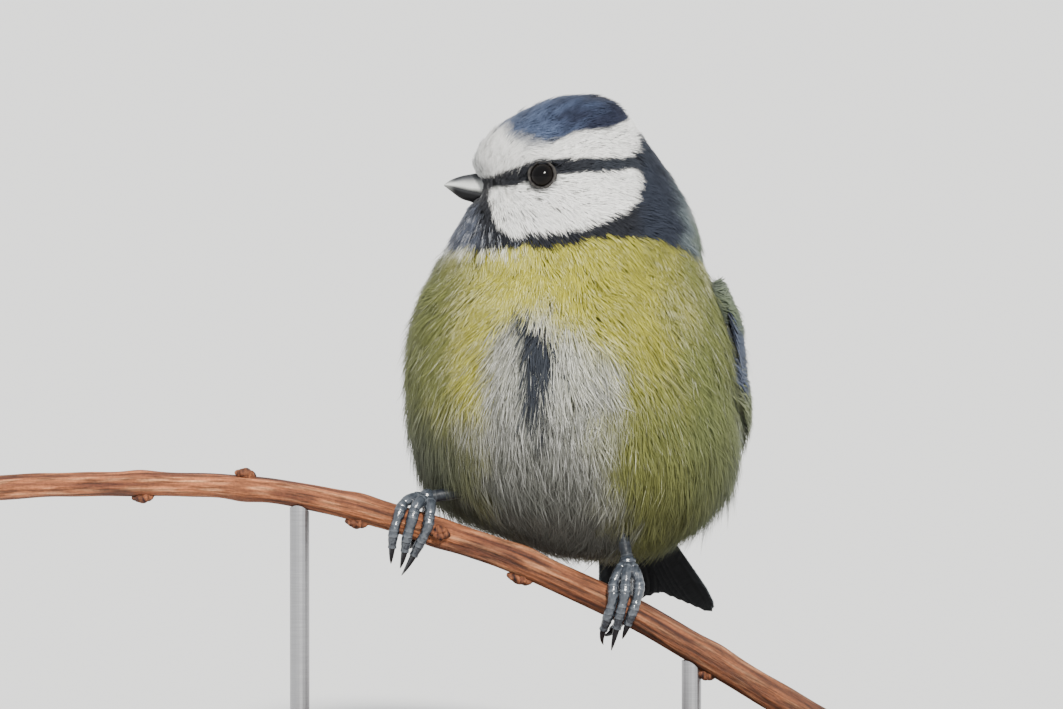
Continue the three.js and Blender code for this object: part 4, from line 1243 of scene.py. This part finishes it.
def scaled_tube(heap, path, radii, scutes, outward, light=1.0):
    """A toe or shank with overlapping scutes on the side that faces outward, and painted light and shade.
    """
    plain = tube_rings(path, np.ones(len(path)), GRID["toe"][1])
    radial = plain - path[:, None]
    top = fade(-0.2, 0.6, radial @ unit(outward))
    q = np.linspace(0, 1, len(path))
    ramp = (q * scutes + 0.35 * np.sin(q * 17)) % 1
    step = (ramp ** 1.5 - 0.35)[:, None] * top
    pebble = mottle(plain, 0.55, 71) * (1 - 0.6 * top)
    size = radii[:, None] * (1 + 0.08 * step + 0.05 * pebble)
    rings = path[:, None] + radial * size[..., None]
    groove = fade(0.2, 0.0, ramp)[:, None] * top
    # Painted shade on the side that faces away and in grooves and hollows, painted highlights on raised
    # scute edges and bumps; light scales it all for painted shade
    colors = mix(flat(LEG, rings.shape), LEG_IN_SHADE, 0.7 * (1 - top) + 0.25 * groove)
    colors = mix(colors, LEG_HIGHLIGHT, np.clip(step * 1.2, 0, 1) * 0.45 + 0.3 * pebble.clip(0, 1))
    colors = mix(colors, LEG_IN_SHADE, 0.6 * (-pebble).clip(0, 1))
    colors = colors.reshape(-1, 3) * light
    heap.add(*lofted(rings), color=np.concatenate([colors, colors[:1], colors[-1:]]))


def ball(heap, middle, radius, color):
    across, deep, along = globe("pad", 0.02)
    ring = np.stack([across, deep, -along], axis=-1)
    bumpy = radius * (1 + 0.04 * mottle(ring * radius, 0.6, 77))
    points, faces = lofted(middle + ring * bumpy[..., None])
    heap.add(points, faces, color=linear(color) * (1 + 0.2 * mottle(points, 0.7, 78))[:, None])


def leg(letter, foot, shank_material, toe_material, claw_material):
    """Shank, toes and claws of one leg."""
    path = even_curve([foot_point(foot, p) for p in foot["tarsus"]], GRID["shank"][0])
    radii = TARSUS_RADIUS * (0.95 + 0.15 * np.linspace(0, 1, len(path)))
    shank = Heap()
    # The shank is painted at 0.45 of its colour: painted shade under the body
    scaled_tube(shank, path, radii, 7, np.array([-0.2, -1, 0.2]), 0.45)
    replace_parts(shank.piece(f"shank_{letter}", shank_material), f"tarsus_{letter}")
    toes = Heap()
    ball(toes, foot_point(foot, foot["pad"]), PAD_RADIUS, LEG)
    middle = np.array([foot["at"][0], TWIG_Y, foot["at"][1]])
    for k, points in enumerate(foot["toes"]):
        path = even_curve([foot_point(foot, p) for p in points], GRID["toe"][0])
        q = np.linspace(0, 1, len(path))
        knuckles = 0.9 + 0.2 * np.abs(np.sin(3 * math.pi * q + 0.5))
        outward = unit(path.mean(axis=0) - middle)
        scaled_tube(toes, path, TOE_RADIUS * (1.04 - 0.24 * q) * knuckles, 8, outward)
        direction = unit(path[-1] - path[-3])
        tip = foot_point(foot, foot["claws"][k])
        claw(f"{letter}_{k + 1}", path[-1] - direction * 0.25, direction, tip, claw_material)
    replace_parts(toes.piece(f"toes_{letter}", toe_material), f"foot_{letter}")


CLAW_START = np.array([0.0, -1.0, 0.3])


def claw(name, start, direction, tip, material):
    """A curved, pointed claw."""
    reach = np.linalg.norm(tip - start)
    rows, sides = GRID["claw"]
    q = np.linspace(0, 1, rows)[:, None]
    bend = start + direction * reach * 0.55
    path = start * (1 - q) ** 2 + bend * 2 * q * (1 - q) + tip * q ** 2
    radii = CLAW_RADIUS * (1 - q[:, 0]) ** 0.75 + 0.03
    points, faces = lofted(tube_rings(path, radii, sides, start=CLAW_START))
    along = np.linalg.norm(points - start, axis=-1) / reach
    colors = mix(flat(CLAW, points.shape), HORN_PALE, fade(0.7, 1, along) * 0.25)
    colors = mix(colors, LEG, fade(0.15, 0, along) * 0.6)
    piece = mesh_object(f"nail_{name}", points + CENTRE, faces, material, color=colors)
    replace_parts(piece, f"claw_{name}")


# Perch

FRONT = np.array([0.0, -1.0, 0.0])
CUT_RINGS = np.array([0.0, 0.35, 0.7, 0.93])
# Scales of a bud: turn about it, how far each leans out, and size
BUD_SCALES = [(0, 0, 1.0), (1.2, 0.3, 0.8), (-1.3, 0.35, 0.75), (2.6, 0.2, 0.6)]


def twig_layout():
    """Path and radius of the twig, and places on it as if it were straight, for the grain."""
    path = even_curve([(x, TWIG_Y, z) for x, z, _ in TWIG_LINE], GRID["twig"][0])
    radius = np.interp(path[:, 0], TWIG_LINE[:, 0], TWIG_LINE[:, 2])
    angle = circle(GRID["twig"][1])
    length = np.linalg.norm(np.diff(path, axis=0), axis=1).sum()
    along = np.linspace(0, 1, GRID["twig"][0])[:, None] * length
    places = (np.broadcast_to(v, GRID["twig"]) for v in (np.cos(angle) * 2, np.sin(angle) * 2, along))
    return path, radius, np.stack(list(places), axis=-1)


def twig_rings(path, radius, straight, ridges):
    """Rings with ridges and lumps, swollen at the buds."""
    lumps = mottle(straight * [0.5, 0.5, 0.25], 2.2, 82)
    size = radius[:, None] * (1 + 0.03 * ridges + 0.025 * lumps)
    for x, way, _ in BUDS:
        swell = np.exp(-((path[:, 0] - x) / 2.6) ** 2)[:, None]
        facing = 0.5 + 0.5 * np.sin(circle(GRID["twig"][1]))[None] * way
        size = size * (1 + 0.16 * swell * facing)
    return tube_rings(path, size, GRID["twig"][1], start=FRONT)


def bark_colors(path, straight, ridges):
    """Streaks along the twig and dark patches. It is paler towards its left end."""
    streaks = mottle(straight * [1, 1, 0.03], 0.8, 83)
    fine = mottle(straight * [1.6, 1.6, 0.12], 0.7, 84)
    patches = fade(0.55, 1.1, mottle(straight * [0.4, 0.4, 0.11], 2.0, 85))
    colors = mix(flat(BARK, straight.shape), BARK_DARK, np.clip(0.35 * streaks - 0.6 * ridges, 0, 0.9))
    colors = mix(colors, BARK_PALE, np.clip(0.45 * fine + 0.35 * ridges - 0.2, 0, 0.6))
    colors = mix(colors, BARK_DARK, patches * 0.6)
    return np.clip(colors * lerp(1.35, 0.62, fade(-60, 25, path[:, 0]))[:, None, None], 0, 1)


def cut_end(ring, middle, place, shares):
    """Bare wood over a cut: rings of points, colours with a dark pith, and places for the grain."""
    disc = middle + (ring - middle)[None] * shares[:, None, None]
    tones = linear(WOOD) * np.where(shares < 0.2, 0.55, 1)[:, None]
    return disc, np.broadcast_to(tones[:, None], disc.shape), np.broadcast_to(place, disc.shape)


def twig(material):
    """A cut length of twig with ridged bark and buds, and bare wood at its ends."""
    path, radius, straight = twig_layout()
    ridges = mottle(straight * [1, 1, 0.045], 1.1, 81)
    rings = twig_rings(path, radius, straight, ridges)
    bark = rings, bark_colors(path, straight, ridges), straight
    first = cut_end(rings[0], path[0], straight[0], CUT_RINGS)
    last = cut_end(rings[-1], path[-1], straight[-1], CUT_RINGS[::-1])
    rings, colors, straight = (np.concatenate(v) for v in zip(first, bark, last))
    heap = Heap()
    heap.add(*lofted(rings), color=with_ends(colors), place=with_ends(straight))
    for x, way, length in BUDS:
        bud(heap, path, radius, x, way, length)
    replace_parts(heap.piece("twig", material), "perch_twig")


def bud(heap, path, radius, x, way, length):
    """A rough bud or leaf scar: a few scales round a core."""
    row = np.argmin(np.abs(path[:, 0] - x))
    tangent = unit(path[row + 1] - path[row - 1])
    out = unit(unit(np.cross(FRONT, tangent)) * way + FRONT * (1 - abs(way)))
    base = path[row] + out * (radius[row] + 0.05) + FRONT * 0.3
    sideways = np.cross(tangent, out)
    for turn, lean, size in BUD_SCALES:
        b, c, a = globe("bud", 0.03)
        grid = np.stack([a * length * 0.42 * size, b * 0.95 * size, c * 0.85 * size], axis=-1)
        rough = 1 + 0.13 * mottle(grid + turn, 1.0, 91)
        shift = tangent * 0.7 * math.cos(turn) + sideways * 0.5 * math.sin(turn) + out * lean
        form = tangent * grid[..., :1] + sideways * grid[..., 1:2] + out * grid[..., 2:]
        points, faces = lofted(base + shift + form * rough[..., None])
        tint = mix(flat(BARK_DARK, points.shape), BARK, 0.5 + 0.5 * mottle(points, 0.8, 92))
        heap.add(points, faces, color=np.clip(tint, 0, 1), place=points)


# Materials

def principled(name, **values):
    """A material, its node tree and its shader, with values set on the shader's sockets."""
    material = bpy.data.materials.new(name)
    material.use_nodes = True
    shader = material.node_tree.nodes["Principled BSDF"]
    for key, value in values.items():
        shader.inputs[key.replace("_", " ")].default_value = value
    return material, material.node_tree, shader


def feed(tree, shader, **outputs):
    for key, output in outputs.items():
        tree.links.new(output, shader.inputs[key.replace("_", " ")])


def noise(tree, vector, **values):
    node = tree.nodes.new("ShaderNodeTexNoise")
    for key, value in values.items():
        node.inputs[key].default_value = value
    tree.links.new(vector, node.inputs["Vector"])
    return node.outputs["Fac"]


def stretched(tree, vector, scale):
    node = tree.nodes.new("ShaderNodeMapping")
    node.inputs["Scale"].default_value = scale
    tree.links.new(vector, node.inputs["Vector"])
    return node.outputs["Vector"]


def levels(tree, value, low, high, source=(0, 1)):
    """A value carried over from the source range to low and high."""
    node = tree.nodes.new("ShaderNodeMapRange")
    for key, limit in zip(("From Min", "From Max", "To Min", "To Max"), (*source, low, high)):
        node.inputs[key].default_value = limit
    tree.links.new(value, node.inputs["Value"])
    return node.outputs["Result"]


def two_tones(tree, value, colors, positions=(0, 1)):
    node = tree.nodes.new("ShaderNodeValToRGB")
    for element, color, position in zip(node.color_ramp.elements, colors, positions):
        element.position = position
        element.color = (*color, 1)
    tree.links.new(value, node.inputs["Fac"])
    return node.outputs["Color"]


def attribute(tree, name, output):
    node = tree.nodes.new("ShaderNodeAttribute")
    node.attribute_name = name
    return node.outputs[output]


def object_place(tree):
    return tree.nodes.new("ShaderNodeTexCoord").outputs["Object"]


def shaded(tree, color, amount):
    """A colour made lighter or darker by an amount about 1."""
    node = tree.nodes.new("ShaderNodeVectorMath")
    node.operation = "SCALE"
    tree.links.new(color, node.inputs[0])
    tree.links.new(amount, node.inputs["Scale"])
    return node.outputs["Vector"]


def bump(tree, height, strength, distance):
    node = tree.nodes.new("ShaderNodeBump")
    node.inputs["Strength"].default_value = strength
    node.inputs["Distance"].default_value = distance
    tree.links.new(height, node.inputs["Height"])
    return node.outputs["Normal"]


def tinted(name, scale, low, high, relief=0.0, **values):
    """The tint of the mesh with fine mottling, and relief from the same noise."""
    material, tree, shader = principled(name, **values)
    fine = noise(tree, object_place(tree), Scale=scale, Detail=3.0)
    tint = shaded(tree, attribute(tree, "Tint", "Color"), levels(tree, fine, low, high))
    feed(tree, shader, Base_Color=tint)
    if relief:
        feed(tree, shader, Normal=bump(tree, fine, relief, 0.0001))
    return material


def plumage(name, roughness=0.8, sheen=0.2, translucent=0.0, glint=0.2):
    return tinted(
        name, 700, 0.9, 1.1, Roughness=roughness, Sheen_Weight=sheen, Sheen_Roughness=0.5,
        Specular_IOR_Level=glint, Subsurface_Weight=translucent, Subsurface_Radius=(1, 1, 1),
        Subsurface_Scale=0.0015,
    )


def bark_material():
    material, tree, shader = principled("bark", Specular_IOR_Level=0.3)
    place = attribute(tree, "Place", "Vector")
    grain = noise(tree, stretched(tree, place, (1, 1, 0.07)), Scale=2.4, Detail=8.0, Roughness=0.7)
    specks = noise(tree, place, Scale=2.4, Detail=4.0)
    tint = shaded(tree, attribute(tree, "Tint", "Color"), levels(tree, grain, 0.35, 1.55, (0.38, 0.62)))
    tint = shaded(tree, tint, levels(tree, specks, 0.85, 1.2, (0.35, 0.7)))
    feed(tree, shader, Base_Color=tint, Roughness=levels(tree, specks, 0.45, 0.8),
         Normal=bump(tree, grain, 1.0, 0.0005))
    return material


def wood_material():
    material, tree, shader = principled("base_wood_grain", Coat_Weight=0.25, Coat_Roughness=0.25)
    place = stretched(tree, object_place(tree), (1.0, 9.0, 9.0))
    flow = noise(tree, place, Scale=14.0, Detail=5.0, Distortion=1.2)
    pores = noise(tree, place, Scale=160.0, Detail=2.0)
    tint = two_tones(tree, flow, (linear(BASE_DARK), linear(BASE_PALE)), (0.3, 0.72))
    tint = shaded(tree, tint, levels(tree, pores, 0.8, 1.15))
    feed(tree, shader, Base_Color=tint, Roughness=levels(tree, pores, 0.35, 0.6),
         Normal=bump(tree, pores, 0.2, 0.0002))
    return material


def steel_material():
    material, tree, shader = principled("brushed_rod", Metallic=1.0)
    lines = noise(tree, stretched(tree, object_place(tree), (40.0, 40.0, 900.0)), Scale=6.0, Detail=3.0)
    tint = two_tones(tree, lines, ((0.28, 0.28, 0.29), (0.46, 0.46, 0.47)))
    feed(tree, shader, Base_Color=tint, Roughness=levels(tree, lines, 0.25, 0.42),
         Normal=bump(tree, lines, 0.15, 0.00005))
    return material


def dress(node, material):
    """Gives a solid that stays its material."""
    for slot in frame["nodes"][node].material_slots:
        slot.material = material


# Studio

FLOOR_HALF = 30.0
FLOOR_TONES = ((0.70, 0.70, 0.69), (0.73, 0.73, 0.72))
SUN_AZIMUTH = math.radians(12)
SUN_ELEVATION = math.radians(34)
SUN_ANGLE = math.radians(7)
SUN_STRENGTH = 8.0
SUN_COLOR = (1.0, 0.97, 0.92)
WORLD_COLOR = (0.93, 0.96, 1.0, 1)
WORLD_STRENGTH = 1.15


def floor():
    """A plain pale floor."""
    material, tree, shader = principled("floor", Roughness=0.95, Specular_IOR_Level=0.1)
    grain = noise(tree, object_place(tree), Scale=400.0, Detail=2.0)
    feed(tree, shader, Base_Color=two_tones(tree, grain, FLOOR_TONES))
    mesh = bpy.data.meshes.new("floor")
    corners = [(x * FLOOR_HALF, y * FLOOR_HALF, 0) for x, y in ((-1, -1), (1, -1), (1, 1), (-1, 1))]
    mesh.from_pydata(corners, [], [(0, 1, 2, 3)])
    mesh.materials.append(material)
    link(bpy.data.objects.new("floor", mesh))


def light():
    """Even light from all round, and a soft sun from in front."""
    world = bpy.data.worlds.new("studio")
    bpy.context.scene.world = world
    world.use_nodes = True
    background = world.node_tree.nodes["Background"]
    background.inputs["Color"].default_value = WORLD_COLOR
    background.inputs["Strength"].default_value = WORLD_STRENGTH
    data = bpy.data.lights.new("sun", "SUN")
    data.energy = SUN_STRENGTH
    data.angle = SUN_ANGLE
    data.color = SUN_COLOR
    level = math.cos(SUN_ELEVATION)
    x, y = math.sin(SUN_AZIMUTH) * level, -math.cos(SUN_AZIMUTH) * level
    toward = Vector((x, y, math.sin(SUN_ELEVATION)))
    sun = link(bpy.data.objects.new("sun", data))
    sun.rotation_euler = (-toward).to_track_quat("-Z", "Y").to_euler()


# Scale of the photograph, and the pixel of the body's centre in it
PIXELS_PER_MM = 6.5
PHOTO_SIZE = (1063, 709)
CENTRE_PIXEL = (577, 400)
CAMERA_DISTANCE = 1500
SENSOR_WIDTH = 36
CAMERA_ELEVATION = math.radians(3)


def camera():
    """A long lens at the photograph's height, framed as the photograph is."""
    data = bpy.data.cameras.new("camera")
    data.sensor_width = SENSOR_WIDTH
    data.lens = SENSOR_WIDTH * CAMERA_DISTANCE * PIXELS_PER_MM / PHOTO_SIZE[0]
    data.clip_end = 100
    back = np.array([0, -math.cos(CAMERA_ELEVATION), math.sin(CAMERA_ELEVATION)])
    up = np.array([0, math.sin(CAMERA_ELEVATION), math.cos(CAMERA_ELEVATION)])
    right_shift = (PHOTO_SIZE[0] / 2 - CENTRE_PIXEL[0]) / PIXELS_PER_MM
    up_shift = (CENTRE_PIXEL[1] - PHOTO_SIZE[1] / 2) / PIXELS_PER_MM
    target = CENTRE + np.array([right_shift, 0, 0]) + up * up_shift
    cam = link(bpy.data.objects.new("camera", data))
    cam.location = (target + back * CAMERA_DISTANCE) * MM
    cam.rotation_euler = (math.pi / 2 - CAMERA_ELEVATION, 0, 0)
    bpy.context.scene.camera = cam


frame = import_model()
camera()
floor()
light()

sheets = [WingSheet(1), WingSheet(-1)]
skin(plumage("skin", 0.9))
coat(plumage("plumage", translucent=0.35), plumage("dark_plumage", sheen=0.1), sheets)
vane_material = plumage("vanes", 0.55, 0.1)
for sheet, letter in zip(sheets, "lr"):
    wing(sheet, letter, vane_material)
tail(plumage("tail_vanes", 0.7, 0.0, glint=0.06))

eye_material = tinted("eye_gloss", 900, 0.9, 1.1, Roughness=0.1, Specular_IOR_Level=0.12)
lid_material = tinted("lid", 2500, 0.8, 1.2, relief=0.8, Roughness=0.7, Specular_IOR_Level=0.12)
for letter in EYES:
    eyeball(letter, eye_material)
    eye_ring(letter, lid_material)
horn_material = tinted("horn", 1500, 0.9, 1.1, relief=0.15, Roughness=0.3, Specular_IOR_Level=0.18)
mandible("bill_top", 1, "bill_upper", horn_material)
mandible("bill_under", -1, "bill_lower", horn_material)
toe_material = tinted("scales", 2600, 0.8, 1.2, relief=0.7, Roughness=0.2, Specular_IOR_Level=0.75)
shank_material = tinted(
    "shank_scales", 2600, 0.8, 1.2, relief=0.6, Roughness=0.45, Specular_IOR_Level=0.2
)
claw_material = tinted("claw_horn", 1800, 0.85, 1.15, relief=0.15, Roughness=0.3)
for letter, foot in FEET.items():
    leg(letter, foot, shank_material, toe_material, claw_material)
twig(bark_material())
dress("stand_base", wood_material())
rod_material = steel_material()
for node in ("stand_rod_1", "stand_rod_2"):
    dress(node, rod_material)
